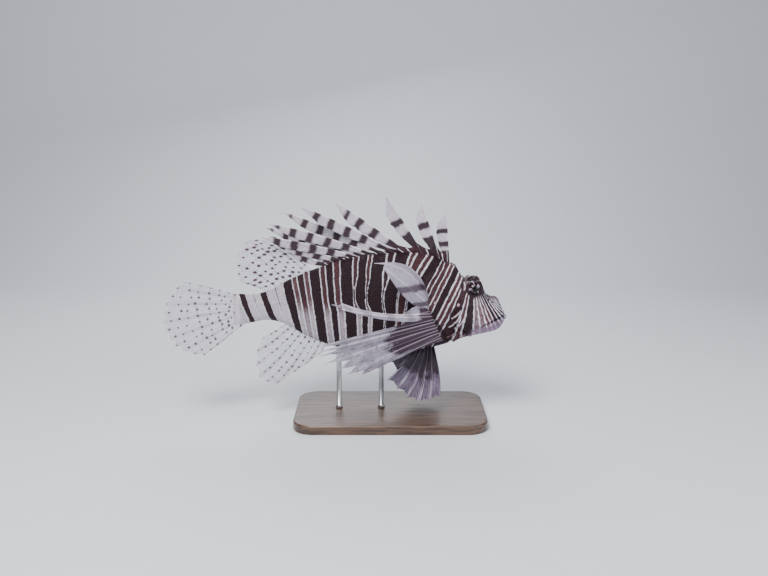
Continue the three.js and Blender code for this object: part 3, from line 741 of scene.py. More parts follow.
@dataclass(frozen=True)
class SkinFinish:
    """The barred skin, with thin pale lines over brown and plum."""

    name: str = "skin_finish"
    pale: Triple = (0.60, 0.54, 0.62)
    line: Triple = (0.74, 0.70, 0.80)
    brown: Triple = (0.086, 0.031, 0.037)
    plum: Triple = (0.016, 0.0045, 0.009)
    wash: Triple = (0.34, 0.22, 0.36)

    def make(self) -> Material:
        """Make the material from the stripe, width, tone, wash and place values."""
        w = Wiring(self.name)
        where = w.value("place", True)
        waver = w.minus(w.noise(where, 0.3, 2), 0.5)
        stripe = w.maths("MULTIPLY_ADD", waver, 0.16, w.value("stripe"))
        off = w.maths("ABSOLUTE", w.minus(stripe, w.maths("ROUND", stripe)))
        width = w.times(w.value("width"), w.rise(w.noise(where, 0.35, 2), 0.25, 0.75, 0.7, 1.3))
        edge = w.maths("MULTIPLY_ADD", width, 0.35, 0.012)
        white = w.rise(off, w.minus(width, edge), w.plus(width, edge), 1, 0)
        rim = w.rise(off, width, w.plus(width, 0.16), 0.13, 0)
        blotch = w.times(w.minus(w.noise(where, 0.45, 4, 0.65), 0.5), 0.34)
        speck = w.times(w.minus(w.noise(where, 2.1, 2), 0.5), 0.3)
        tone = w.plus(w.plus(w.value("tone"), rim), w.plus(blotch, speck))
        ground = w.tint(w.rise(tone, 0, 0.55), self.pale, self.brown)
        ground = w.tint(w.rise(tone, 0.45, 0.92), ground, self.plum)
        pallor = w.times(w.value("wash"), w.rise(w.noise(where, 0.6, 3), 0.2, 0.8, 0.6, 1))
        ground = w.tint(pallor, ground, self.wash)
        lit = w.times(white, w.rise(w.noise(where, 1.6, 2), 0.25, 0.6, 0.55, 1))
        colour = w.tint(w.times(lit, w.value("clear")), ground, self.line)
        rough = w.rise(w.noise(where, 1.1, 3), 0.2, 0.8, 0.34, 0.56)
        pores = w.plus(w.rise(w.edges(where, 2.3), 0, 0.3), w.noise(where, 2.9, 4))
        w.shine(Specular_IOR_Level=0.24, Subsurface_Weight=0.06, Subsurface_Scale=0.002)
        return w.dress(colour, rough, pores, 0.09)


class Pattern(Enum):
    """How a fin is marked."""

    SPOTS = "spots"
    BANDS = "bands"
    STREAKS = "streaks"


@dataclass(frozen=True)
class FinFinish:
    """A fin's thin web and its raised rays."""

    name: str
    pattern: Pattern
    web: Triple = (0.62, 0.60, 0.68)
    ray: Triple = (0.66, 0.60, 0.64)
    mark: Triple = (0.05, 0.018, 0.035)
    clear: float = 0.34  # how opaque the web is
    pitch: float = 8.5  # mm from one spot to the next along a ray
    size: float = 0.75  # mm, half width of a spot; share of the pitch for a band
    strength: float = 0.9
    base: float = 0.0  # how dark the fin's root is
    lines: float = 0.0  # how far the rays stay pale where the root is dark
    joint: float = 1.1  # mm from one joint of a ray to the next

    def make(self) -> Material:
        """Make the material from the fin's ray, off, run, ridge, phase, strong, root and place values."""
        w = Wiring(self.name)
        where = w.value("place", True)
        run, ray, off = w.value("run"), w.maths("ROUND", w.value("ray")), w.value("off")
        ridge = w.rise(w.value("ridge"), 0.15, 0.75)
        draw = {Pattern.SPOTS: self._spots, Pattern.BANDS: self._bands, Pattern.STREAKS: self._streaks}
        mark = w.times(draw[self.pattern](w, where, run, ray, off), self.strength)
        mark = w.times(mark, w.value("strong"))
        ragged = w.plus(w.value("root"), w.minus(w.noise(where, 0.2, 3), 0.5))
        root = w.times(w.rise(ragged, 0.22, 0.78), w.rise(ridge, 0, 1, self.base, self.base - self.lines))
        mark = w.maths("MAXIMUM", mark, root)
        fibre = w.noise(w.joined(w.times(off, 3.2), w.times(run, 0.12), ray), 1.4, 3)
        mottle = w.noise(where, 0.3, 4, 0.6)
        web = w.tint(w.rise(mottle, 0.3, 0.75), self.web, tuple(c * 0.72 for c in self.web))
        colour = w.tint(ridge, web, self.ray)
        colour = w.tint(w.rise(fibre, 0.35, 0.75, 0, 0.3), colour, tuple(c * 0.55 for c in self.ray))
        colour = w.tint(mark, colour, self.mark)
        joints = w.maths("SINE", w.times(run, 2 * math.pi / self.joint))
        height = w.plus(fibre, w.times(w.times(joints, ridge), 0.16))
        solid = w.maths("MAXIMUM", ridge, w.times(mark, 0.85))
        veil = w.rise(fibre, 0.25, 0.75, self.clear * 0.75, min(1.0, self.clear * 1.25))
        cover = w.maths("MULTIPLY_ADD", solid, w.minus(1.0, veil), veil)
        w.fill(w.shader, {"Alpha": cover})
        w.shine(Specular_IOR_Level=0.24)
        return w.dress(colour, w.rise(mottle, 0.2, 0.8, 0.32, 0.52), height, 0.14)

    def _spots(self, w: Wiring, where: Socket, run: Socket, ray: Socket, off: Socket) -> Socket:
        """Draw scattered round spots along each ray."""
        along = w.plus(w.maths("DIVIDE", run, self.pitch), w.times(w.chance(w.joined(ray, 3.0)), 0.5))
        cell = w.maths("FLOOR", along)
        one, two = w.chance(w.joined(ray, cell, 7.0)), w.chance(w.joined(ray, cell, 9.0))
        away = w.times(w.minus(w.minus(along, cell), w.rise(one, 0, 1, 0.3, 0.7)), self.pitch)
        drift = w.plus(off, w.rise(two, 0, 1, -0.5, 0.5))
        far = w.maths("SQRT", w.plus(w.times(away, away), w.times(drift, drift)))
        far = w.plus(far, w.times(w.minus(w.noise(where, 1.1, 2), 0.5), 0.6))
        size = w.times(w.rise(two, 0, 1, 0.75, 1.25), self.size)
        return w.rise(far, size, w.plus(size, 0.35), 1, 0)

    def _bands(self, w: Wiring, where: Socket, run: Socket, ray: Socket, off: Socket) -> Socket:
        """Draw wavy bands across the rays, one at each half count of phase."""
        wave = w.times(w.minus(w.noise(where, 0.16, 3), 0.5), 0.3)
        along = w.plus(w.value("phase"), wave)
        away = w.maths("ABSOLUTE", w.minus(w.minus(along, w.maths("FLOOR", along)), 0.5))
        soft = self.size * 0.22
        return w.rise(away, self.size / 2 - soft, self.size / 2 + soft, 1, 0)

    def _streaks(self, w: Wiring, where: Socket, run: Socket, ray: Socket, off: Socket) -> Socket:
        """Draw dark streaks along the rays."""
        streak = w.noise(w.joined(w.times(off, 1.6), w.times(run, 0.05), ray), 1.0, 3)
        return w.rise(streak, 0.62, 0.38)


@dataclass(frozen=True)
class EyeFinish:
    """The eyeball: a black pupil in a dark iris with pale rays, under a clear gloss."""

    name: str = "eye_finish"
    pupil: float = 25  # degrees off the eye's axis
    iris: float = 58
    dark: Triple = (0.020, 0.007, 0.014)
    pale: Triple = (0.40, 0.35, 0.44)
    ring: Triple = (0.42, 0.33, 0.3)
    black: Triple = (0.001, 0.001, 0.0015)
    # Each pale streak of the iris: its angle from ahead towards the crown, and half its width.
    streaks: Pairs = ((142, 16), (-4, 11), (222, 4), (78, 3))

    def make(self) -> Material:
        """Make the material from the polar and round values."""
        w = Wiring(self.name)
        polar, turn = w.value("polar"), w.value("round")
        spread = w.joined(w.maths("COSINE", turn), w.maths("SINE", turn), w.times(polar, 0.012))
        fine = w.noise(w.stretch(spread, (1, 1, 3)), 9, 2)
        sway = w.maths("MULTIPLY_ADD", w.noise(spread, 3.4, 2), 0.5, turn)
        streak: Term = 0.0
        for angle, half in self.streaks:
            near = w.maths("COSINE", w.minus(sway, math.radians(angle) + 0.25))
            one = w.rise(near, math.cos(math.radians(half * 1.5)), math.cos(math.radians(half * 0.7)))
            streak = w.maths("MAXIMUM", streak, one)
        streak = w.times(streak, w.rise(fine, 0.3, 0.6, 0.45, 1))
        outer = w.rise(polar, self.iris, self.iris + 14, 1, 0.25)
        colour = w.tint(w.times(streak, outer), self.dark, self.pale)
        ring = w.times(w.rise(polar, self.pupil + 3.5, self.pupil + 1), 0.3)
        colour = w.tint(ring, colour, self.ring)
        colour = w.tint(w.rise(polar, self.pupil - 1, self.pupil + 1), self.black, colour)
        w.shine(Specular_IOR_Level=0.1, Coat_Weight=0.4, Coat_Roughness=0.03)
        return w.dress(colour, w.rise(fine, 0, 1, 0.2, 0.35), fine, 0.03)


@dataclass(frozen=True)
class WoodFinish:
    """Dark stained wood with a fine grain along X, in satin lacquer."""

    name: str = "stand_wood"
    light: Triple = (0.115, 0.062, 0.036)
    dark: Triple = (0.028, 0.014, 0.009)

    def make(self) -> Material:
        """Make the material from the object's own coordinates."""
        w = Wiring(self.name)
        where = w.own_place()
        slow = w.noise(w.stretch(where, (7, 60, 60)), 1, 4, 0.6)
        grain = w.noise(w.stretch(where, (22, 900, 900)), 1, 3, 0.6)
        rings = w.maths("SINE", w.times(slow, 46.0))
        share = w.plus(w.rise(rings, -1, 1, 0, 0.55), w.rise(grain, 0.3, 0.7, 0, 0.45))
        w.shine(Coat_Weight=0.3, Coat_Roughness=0.2)
        return w.dress(w.tint(share, self.light, self.dark), w.rise(grain, 0.3, 0.7, 0.34, 0.5), grain, 0.05)


@dataclass(frozen=True)
class SteelFinish:
    """Brushed steel, drawn along the rod."""

    name: str = "stand_steel"
    dark: Triple = (0.42, 0.42, 0.44)
    light: Triple = (0.56, 0.55, 0.54)

    def make(self) -> Material:
        """Make the material from the object's own coordinates."""
        w = Wiring(self.name)
        where = w.own_place()
        brush = w.noise(w.stretch(where, (2600, 2600, 60)), 1, 3, 0.6)
        cloud = w.noise(where, 60, 3)
        w.shine(Metallic=1.0)
        colour = w.tint(cloud, self.dark, self.light)
        return w.dress(colour, w.rise(brush, 0.25, 0.75, 0.24, 0.42), brush, 0.03)


@dataclass(frozen=True)
class PaperFinish:
    """The studio's matt paper."""

    name: str = "studio_paper"
    dark: Triple = (0.60, 0.62, 0.66)
    light: Triple = (0.63, 0.65, 0.69)
    rough: float = 0.85

    def make(self) -> Material:
        """Make the material from the object's own coordinates."""
        w = Wiring(self.name)
        where = w.own_place()
        paper = w.tint(w.noise(where, 40, 4), self.dark, self.light)
        return w.dress(paper, self.rough, w.noise(where, 900, 3), 0.05)


@dataclass
class Skin:
    """One skin over head, trunk and tail stem, with the head's folds, lips, lids and pits."""

    finish: SkinFinish = SkinFinish()
    around: int = 288
    head_end: float = 74
    head_to: float = 80  # where the head's folds and marks end
    head_step: float = 0.44
    body_step: float = 1.15
    sink: float = 0.42  # how far the skin lies inside the solids, under its scales
    eye: Triple = (28.5, 12.4, 16.2)
    eye_radius: float = 6.5
    eye_look: Triple = (-0.2, 1, 0.12)
    lid_over: float = 0.75
    lid_open: float = 5.35
    lid_folds: tuple[Triple, ...] = ((6.7, 0.4, 0.35), (7.9, -0.4, 0.4), (8.9, 0.3, 0.4), (9.8, -0.3, 0.35))
    mouth: Pairs = (
        (-6, -8), (-1, -8.4), (6, -10.4), (13, -13.8), (20, -17.6), (24.5, -20.8),
    )
    upper_lip: Pairs = ((-6, -6.6), (1, -6.9), (4, -7.8), (11, -10.7), (22.5, -17))
    lower_lip: Pairs = ((-6, -10.2), (0.6, -10.7), (4, -12), (11, -15.4), (21, -20.8))
    cheek_fold: Pairs = ((38, 2), (44.5, -4), (45, -13), (39.5, -21), (30, -24.5))
    jaw_fold: Pairs = ((24, -9), (28, -14), (29.5, -19), (27, -23.5))
    gill_edge: Pairs = (
        (45, 46), (51, 36), (62, 31), (69, 25), (70, 16), (67, 5), (62.5, -7), (55.5, -19), (47.5, -29),
        (41, -41),
    )
    ridges: tuple[Pairs, ...] = (
        ((22, 18), (28, 21.4), (35, 20.5), (41, 26)),
        ((24, 4), (31, 2), (39, 1.5), (47, 2.5)),
        ((45, 10), (52, 13), (60, 16)),
        ((33, -13), (38, -12), (43.5, -11.5)),
        ((30, -20), (35, -19.5), (40, -19)),
    )
    nostrils: tuple[Triple, ...] = ((14, 4.6, 1.1), (10, 1.6, 0.9))
    # The dark arcs over the eye: millimetres from its middle, and how dark.
    brow_arcs: Pairs = (
        (5.6, 1), (6.1, 0.1), (7.5, 0.05), (7.8, 0.95), (8.5, 0.95), (8.65, 0.15), (9.0, 0.15), (9.15, 1),
        (12, 1),
    )
    # Pale spots, and pale strokes that branch off the lines round the cheek.
    spots: tuple[Triple, ...] = ((41.7, 3.4, 1.15), (131.5, 16.9, 1.6), (61.5, 5.5, 1.2))
    strokes: tuple[tuple[Pairs, float], ...] = (
        (((39.6, -2), (42.5, -5), (45, -7), (48.5, -8.5)), 0.5),
        (((40.2, -5), (42, -9.5), (46.4, -14), (51, -17)), 0.55),
        (((35.6, -7), (38, -11.5), (41.5, -15.5), (46, -18.5)), 0.5),
        (((36.4, 21.5), (35.8, 18.5), (36.6, 15)), 0.5),
    )

    def stations(self) -> Array:
        """List the stations of the skin's sections."""
        ease = 1 - np.cos(np.linspace(0.004, 1, 26) * np.pi / 2)
        nose = FORM.nose_tip + ease * (FORM.nose_round - FORM.nose_tip)
        head = np.arange(FORM.nose_round + self.head_step, self.head_end, self.head_step)
        last = FORM.tail_end - FORM.tail_round
        trunk = np.arange(self.head_end, last, self.body_step)
        end = last + np.sin(np.linspace(0, 0.996, 9) * np.pi / 2) * FORM.tail_round
        return np.concatenate([nose, head, trunk, end])

    def turns(self) -> Array:
        """List the angles round a section, closer together over the back."""
        k = 2 * np.pi * np.arange(self.around) / self.around
        return k - 0.28 * np.sin(2 * k)

    def surface(self, s: Array, turn: Array) -> Array:
        """Find points of the skin, with all its relief.

        Args:
            s: Stations behind the snout.
            turn: Angles round the section.

        Returns:
            Points of the straight frame.
        """
        s, turn = np.broadcast_arrays(np.asarray(s, float), np.asarray(turn, float))
        p = FORM.at(s, turn)
        out = FORM.normal(s, turn)
        rise = self.relief(p, out) - self.sink * smooth(20, 75, s) - 0.12
        p = p + out * rise[..., None]
        for side in SIDES:
            p = self.socket(p, side)
        return p

    def relief(self, p: Array, out: Array) -> Array:
        """Work out how far the skin stands out at each point.

        Args:
            p: Points of the smooth form.
            out: Its outward directions.

        Returns:
            Millimetres outward.
        """
        s, y, z = p[..., 0], p[..., 1], p[..., 2]
        side = smooth(0.1, 0.45, np.abs(out[..., 1]) + np.clip(-out[..., 0], 0, 1))
        rise = np.zeros(s.shape)
        head = s < self.head_to
        rise[head] = self._head_relief(s[head], z[head])
        throat = smooth(-24, -34, z) * smooth(74, 40, s) * smooth(18, 30, s)
        rise += throat * 0.4 * np.sin(np.abs(y) * 2 * np.pi / 3.4)
        rise += 0.22 * hump(np.abs(z - self.lateral(s)), 0.7) * smooth(66, 76, s)
        return rise * np.where(head, np.maximum(side, smooth(24, 40, s) * 0.6), 1)

    def _head_relief(self, s: Array, z: Array) -> Array:
        """Add up the mouth, lips, folds, gill edge, ridges, nostrils and wrinkles of the head.

        Args:
            s: Stations behind the snout.
            z: Heights above the axis.

        Returns:
            Millimetres outward.
        """
        rise = np.zeros(s.shape)
        d, share = to_line(s, z, spline(self.mouth, 6))
        rise -= 2.3 * hump(d, 0.62) * smooth(1, 0.86, share)
        for line, high in ((self.upper_lip, 0.95), (self.lower_lip, 1.0)):
            d, share = to_line(s, z, spline(line, 6))
            rise += high * hump(d, 1.25) * smooth(1, 0.8, share)
            rise -= 0.4 * hump(np.abs(d) - 2.6, 0.7) * smooth(1, 0.8, share)
        for line, deep, wide in ((self.cheek_fold, 1.3, 0.8), (self.jaw_fold, 1.0, 0.6)):
            d, share = to_line(s, z, spline(line, 6))
            ends = smooth(0, 0.12, share) * smooth(1, 0.88, share)
            rise += ends * (-deep * hump(d, wide) + 0.55 * hump(d - 2.2, 1.3))
        d, share = to_line(s, z, spline(self.gill_edge, 8))
        lip = smooth(-7, -0.5, d) * smooth(0.5, 0.0, d) * 0.8
        groove = smooth(0.0, 0.5, d) * smooth(6, 0.6, d) * -1.1
        rise += (lip + groove) * smooth(0, 0.1, share) * smooth(1, 0.93, share)
        for line in self.ridges:
            d, share = to_line(s, z, spline(line, 6))
            knots = 0.62 + 0.38 * np.sin(share * 2 * np.pi * len(line) * 1.1)
            rise += 0.95 * knots * hump(d, 0.95) * smooth(0, 0.15, share) * smooth(1, 0.9, share)
        for at_s, at_z, radius in self.nostrils:
            far = np.hypot(s - at_s, z - at_z)
            rise += 0.5 * hump(far - radius * 1.25, 0.45) - 1.5 * np.exp(-((far / (radius * 0.62)) ** 4))
        wrinkle = 0.16 * ripple(s / 3.1, z / 7.5, 3) + 0.11 * ripple(s / 1.6, z / 2.2, 4)
        return rise + wrinkle * smooth(80, 60, s)

    @staticmethod
    def lateral(s: Array) -> Array:
        """Find the height of the lateral line."""
        return mix(20, 1, smooth(60, 230, s))

    def socket(self, p: Array, side: int) -> Array:
        """Shape the lids and the hollow behind one eyeball.

        Args:
            p: Points of the skin.
            side: -1 for the right eye, 1 for the left.

        Returns:
            The points, moved where they are near the eye.
        """
        centre = np.array(self.eye) * (1, side, 1)
        look = unit(np.array(self.eye_look) * (1, side, 1))
        away = p - centre
        deep = away @ look
        flat = away - deep[..., None] * look
        ring = np.linalg.norm(flat, axis=-1)
        near = (ring < 11) & (deep > -4) & (p[..., 1] * side > 0)
        ball = self.eye_radius + self.lid_over
        lid = np.sqrt(np.maximum(ball**2 - ring**2, 0)) - 0.5 * smooth(6.2, 7.4, ring)
        fold = sum(high * hump(ring - at, wide) for at, high, wide in self.lid_folds)
        gap = lid - deep
        raised = deep + np.maximum(gap, 0) * smooth(ball + 0.1, 6.6, ring) + fold * smooth(11, 8, ring)
        under = np.sqrt(np.maximum(self.eye_radius**2 - ring**2, 0)) - 1.3
        target = mix(under, raised, smooth(self.lid_open - 0.45, self.lid_open + 0.2, ring))
        moved = p + (target - deep)[..., None] * look
        return np.where(near[..., None], moved, p)

    def marks(self, p: Array) -> dict[str, Array]:
        """Give points of the skin the values that its finish reads.

        Args:
            p: Points of the straight frame.

        Returns:
            The named values.
        """
        values = MARKS.read(p)
        s, y, z = p[..., 0], p[..., 1], p[..., 2]
        near_eye = np.hypot(s - self.eye[0], z - self.eye[2])
        jaw = smooth(-11, -19, z + 0.35 * (s - 12)) * smooth(34, 26, s)
        throat = smooth(-29, -37, z) * smooth(20, 34, s) * smooth(64, 50, s)
        belly = smooth(-38, -46, z) * smooth(60, 80, s) * smooth(170, 140, s)
        dorsum = smooth(0.5, 3.0, np.abs(y) + 8 * smooth(60, 80, s))
        bridge = smooth(6, 2.2, np.abs(y)) * smooth(27, 21, s) * smooth(-5, 0, z)
        wash = np.clip(jaw * 0.8 + throat * 0.3 + belly * 0.65, 0, 1)
        clear = (1 - 0.65 * jaw) * mix(1, smooth(5.0, 7.2, near_eye), smooth(45, 40, s))
        clear = clear * mix(0.4, 1, dorsum) * (1 - 0.8 * bridge)
        tone = mix(values["tone"], 0.62, bridge)
        rim = near_eye + 0.4 * ripple(s / 6, z / 6, 9)
        over = smooth(12, 10.6, rim) * np.where(s < self.eye[0], smooth(7, 11, z), smooth(13, 17, z))
        over = over * smooth(2.5, 5.5, np.abs(y))
        tone = mix(tone, 1.05 * np.interp(rim, *zip(*self.brow_arcs)), over)
        dark, white = self._patches(s, z, near_eye)
        tone = np.maximum(tone, 1.05 * dark) * (1 - 1.2 * white)
        clear = clear * (1 - over) * (1 - dark) * (1 - white)
        return {**values, "tone": tone, "clear": clear, "wash": wash * (1 - dark)}

    def _patches(self, s: Array, z: Array, near_eye: Array) -> tuple[Array, Array]:
        """Find the head's dark patches, and its pale spots and strokes.

        Args:
            s: Stations behind the snout.
            z: Heights above the axis.
            near_eye: Distances from the eye's middle.

        Returns:
            How dark and how white each point is, from 0 to 1.
        """
        white = np.clip(sum(hump(np.hypot(s - at, z - high), wide) for at, high, wide in self.spots), 0, 1)
        for line, wide in self.strokes:
            d, share = to_line(s, z, spline(line, 5))
            stroke = smooth(wide * 1.5, wide * 0.6, np.abs(d)) * smooth(1, 0.85, share)
            white = np.maximum(white, stroke * (s < self.head_to))
        gap, _ = to_line(s, z, spline(self.gill_edge, 6))
        dark = hump(np.hypot(s - 41.4, (z - 3) / 1.8), 2.2) + hump(np.hypot(s - 47.2, z + 4.3), 3.6)
        dark = dark + 0.9 * smooth(8.6, 6.6, near_eye + 1.3 * ripple(s / 7, z / 7, 8))
        dark = dark + 0.8 * smooth(-2, -0.5, gap) * smooth(5, 3, gap) * smooth(2, -6, z)
        return np.clip(dark, 0, 1) * (s < self.head_to), white

    def build(self) -> Object:
        """Build the skin and close it at nose and tail.

        Returns:
            The skin.
        """
        s, turn = np.meshgrid(self.stations(), self.turns(), indexing="ij")
        p = self.surface(s, turn)
        shell = Shell()
        rings = len(s)
        faces = grid(rings, self.around, closed=True)
        values = self.marks(p)
        ends = [p[0].mean(axis=0), p[-1].mean(axis=0)]
        shell.add(BEND.pose(np.vstack([p.reshape(-1, 3), *[e[None] for e in ends]])), faces)
        for name, value in values.items():
            flat = value.reshape(-1, 3) if name == "place" else value.ravel()
            shell.values[name] = [np.concatenate([flat, flat[:1], flat[-1:]])]
        first, last = rings * self.around, rings * self.around + 1
        for k in range(self.around):
            after = (k + 1) % self.around
            shell.faces.append([first, after, k])
            shell.faces.append([last, (rings - 1) * self.around + k, (rings - 1) * self.around + after])
        made = shell.build("skin_head_and_body", self.finish.make(), Slot.SKIN)
        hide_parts("head", "torso", "tail_stem")
        return made


@dataclass
class Scales:
    """Small thin scales over the trunk, cheek and gill cover, each a closed lens."""

    skin: Skin
    pitch: float = 1.75
    first: float = 34
    last: float = 231
    lift: float = 0.13
    sink: float = 0.3
    dome: float = 0.08
    rim: int = 8
    row_step: float = 0.62  # share of the pitch from one row to the next
    patch: float = 0.0022  # size of a scale's place on the unwrap
    unwrap: float = 240  # the length that the unwrap holds
    seed: int = 11

    def spacing(self, s: Array | float) -> Array:
        """Find the pitch of the scales at a station: finer on the head and the tail stem."""
        return self.pitch * mix(0.62, 1, smooth(40, 80, s)) * mix(1, 0.8, smooth(150, 225, s))

    def roots(self, side: int) -> tuple[Array, Array]:
        """Place the scales of one side in staggered rows.

        Args:
            side: -1 for the right side, 1 for the left.

        Returns:
            Their stations, and their angles round the section.
        """
        draw = np.random.default_rng(self.seed + side)
        stations, turns = [], []
        s, row = self.first, 0
        fine = np.linspace(0, np.pi, 160)
        while s < self.last:
            ring = FORM.at(np.full(fine.shape, s), fine)
            length = np.concatenate([[0], np.cumsum(np.linalg.norm(np.diff(ring, axis=0), axis=1))])
            pitch = float(self.spacing(s))
            count = int(length[-1] / pitch)
            at = (np.arange(count) + 0.5 + 0.5 * (row % 2)) / count * length[-1]
            at = np.clip(at + draw.normal(0, 0.07, count) * pitch, 0, length[-1])
            turns.append(np.interp(at, length, fine) * side)
            stations.append(s + draw.normal(0, 0.06, count) * pitch)
            s += pitch * self.row_step
            row += 1
        s, turn = np.concatenate(stations), np.concatenate(turns)
        place = FORM.at(s, turn)
        z = place[:, 2]
        gap, _ = to_line(s, z, spline(self.skin.gill_edge, 6))
        on_trunk = (gap > 1.6) | (s > 72)
        far_eye = np.hypot(s - 29, z - 14) > 12
        on_cheek = far_eye & (z < 30) & (z > -26) & (gap < -2.2) & (draw.random(len(s)) < smooth(34, 46, s))
        clear = np.abs(z - self.skin.lateral(s)) > 0.1
        keep = clear & (on_trunk | on_cheek)
        return s[keep], turn[keep]

    def build_side(self, side: int, finish: Material) -> None:
        """Build one side's scales as one joined piece.

        Args:
            side: -1 for the right side, 1 for the left.
            finish: The skin's material.
        """
        s, turn = self.roots(side)
        root = self.skin.surface(s, turn)
        out = FORM.normal(s, turn)
        back = unit(self.skin.surface(s + 1.2, turn) - self.skin.surface(s - 1.2, turn))
        across = unit(np.cross(out, back))
        out = unit(np.cross(back, across))
        size = self.spacing(s) * np.random.default_rng(self.seed).uniform(0.92, 1.1, len(s))
        angle = 2 * np.pi * np.arange(self.rim) / self.rim
        along = np.where(np.cos(angle) > 0, 0.72, 0.6) * np.cos(angle)
        wide = 0.6 * np.sin(angle)
        high = mix(-self.sink, self.lift, (np.cos(angle) + 1) / 2)
        local = [(0.1, 0, self.dome), *zip(along, wide, high), (0.15, 0, -self.sink)]
        back, across = back * size[:, None], across * size[:, None]
        p = np.stack([root + back * a + across * b + out * h for a, b, h in local], axis=1)
        corners = self.rim + 2
        faces = []
        for k in range(self.rim):
            after = (k + 1) % self.rim
            faces += [[0, 1 + k, 1 + after], [corners - 1, 1 + after, 1 + k]]
        faces = np.array(faces)[None] + (np.arange(len(s)) * corners)[:, None, None]
        shell = Shell()
        shell.add(BEND.pose(p), faces.reshape(-1, 3), **self.skin.marks(p))
        centre = np.stack([s / self.unwrap, turn / (2 * np.pi) + 0.5], axis=-1)
        patch = np.array([(a, b) for a, b, _ in local]) * self.patch
        shell.patches.append((centre[:, None] + patch[None]).reshape(-1, 2))
        shell.build(f"scales_{WORDS[side]}", finish, Slot.SKIN)

    def build(self, finish: Material) -> None:
        """Build the scales of both sides."""
        for side in SIDES:
            self.build_side(side, finish)


@dataclass
class Eyes:
    """Both eyeballs, each with a slightly raised clear front."""

    skin: Skin
    finish: EyeFinish = EyeFinish()
    shrink: float = 0.985
    bulge: float = 0.35
    rows: int = 61
    around: int = 72

    def build(self) -> None:
        """Build both eyeballs."""
        material = self.finish.make()
        down = np.linspace(0.001, np.pi - 0.001, self.rows)
        polar, turn = np.meshgrid(down, np.arange(self.around) * 2 * np.pi / self.around, indexing="ij")
        for side, word in WORDS.items():
            look = unit(np.array(self.skin.eye_look) * (1, side, 1))
            up = unit(np.cross(look, np.array([1.0, 0, 0])))
            ahead = np.cross(up, look)
            radius = self.skin.eye_radius * self.shrink + self.bulge * hump(polar, 0.5)
            spread = np.cos(turn)[..., None] * ahead + np.sin(turn)[..., None] * up
            place = np.cos(polar)[..., None] * look + np.sin(polar)[..., None] * spread
            p = np.array(self.skin.eye) * (1, side, 1) + place * radius[..., None]
            shell = Shell()
            faces = grid(self.rows, self.around, closed=True)[:, :: -side]
            shell.add(BEND.pose(p), faces, polar=np.degrees(polar), round=turn)
            made = shell.build(f"eyeball_{word}", material, Slot.EYE)
            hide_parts(f"eye_{word}")


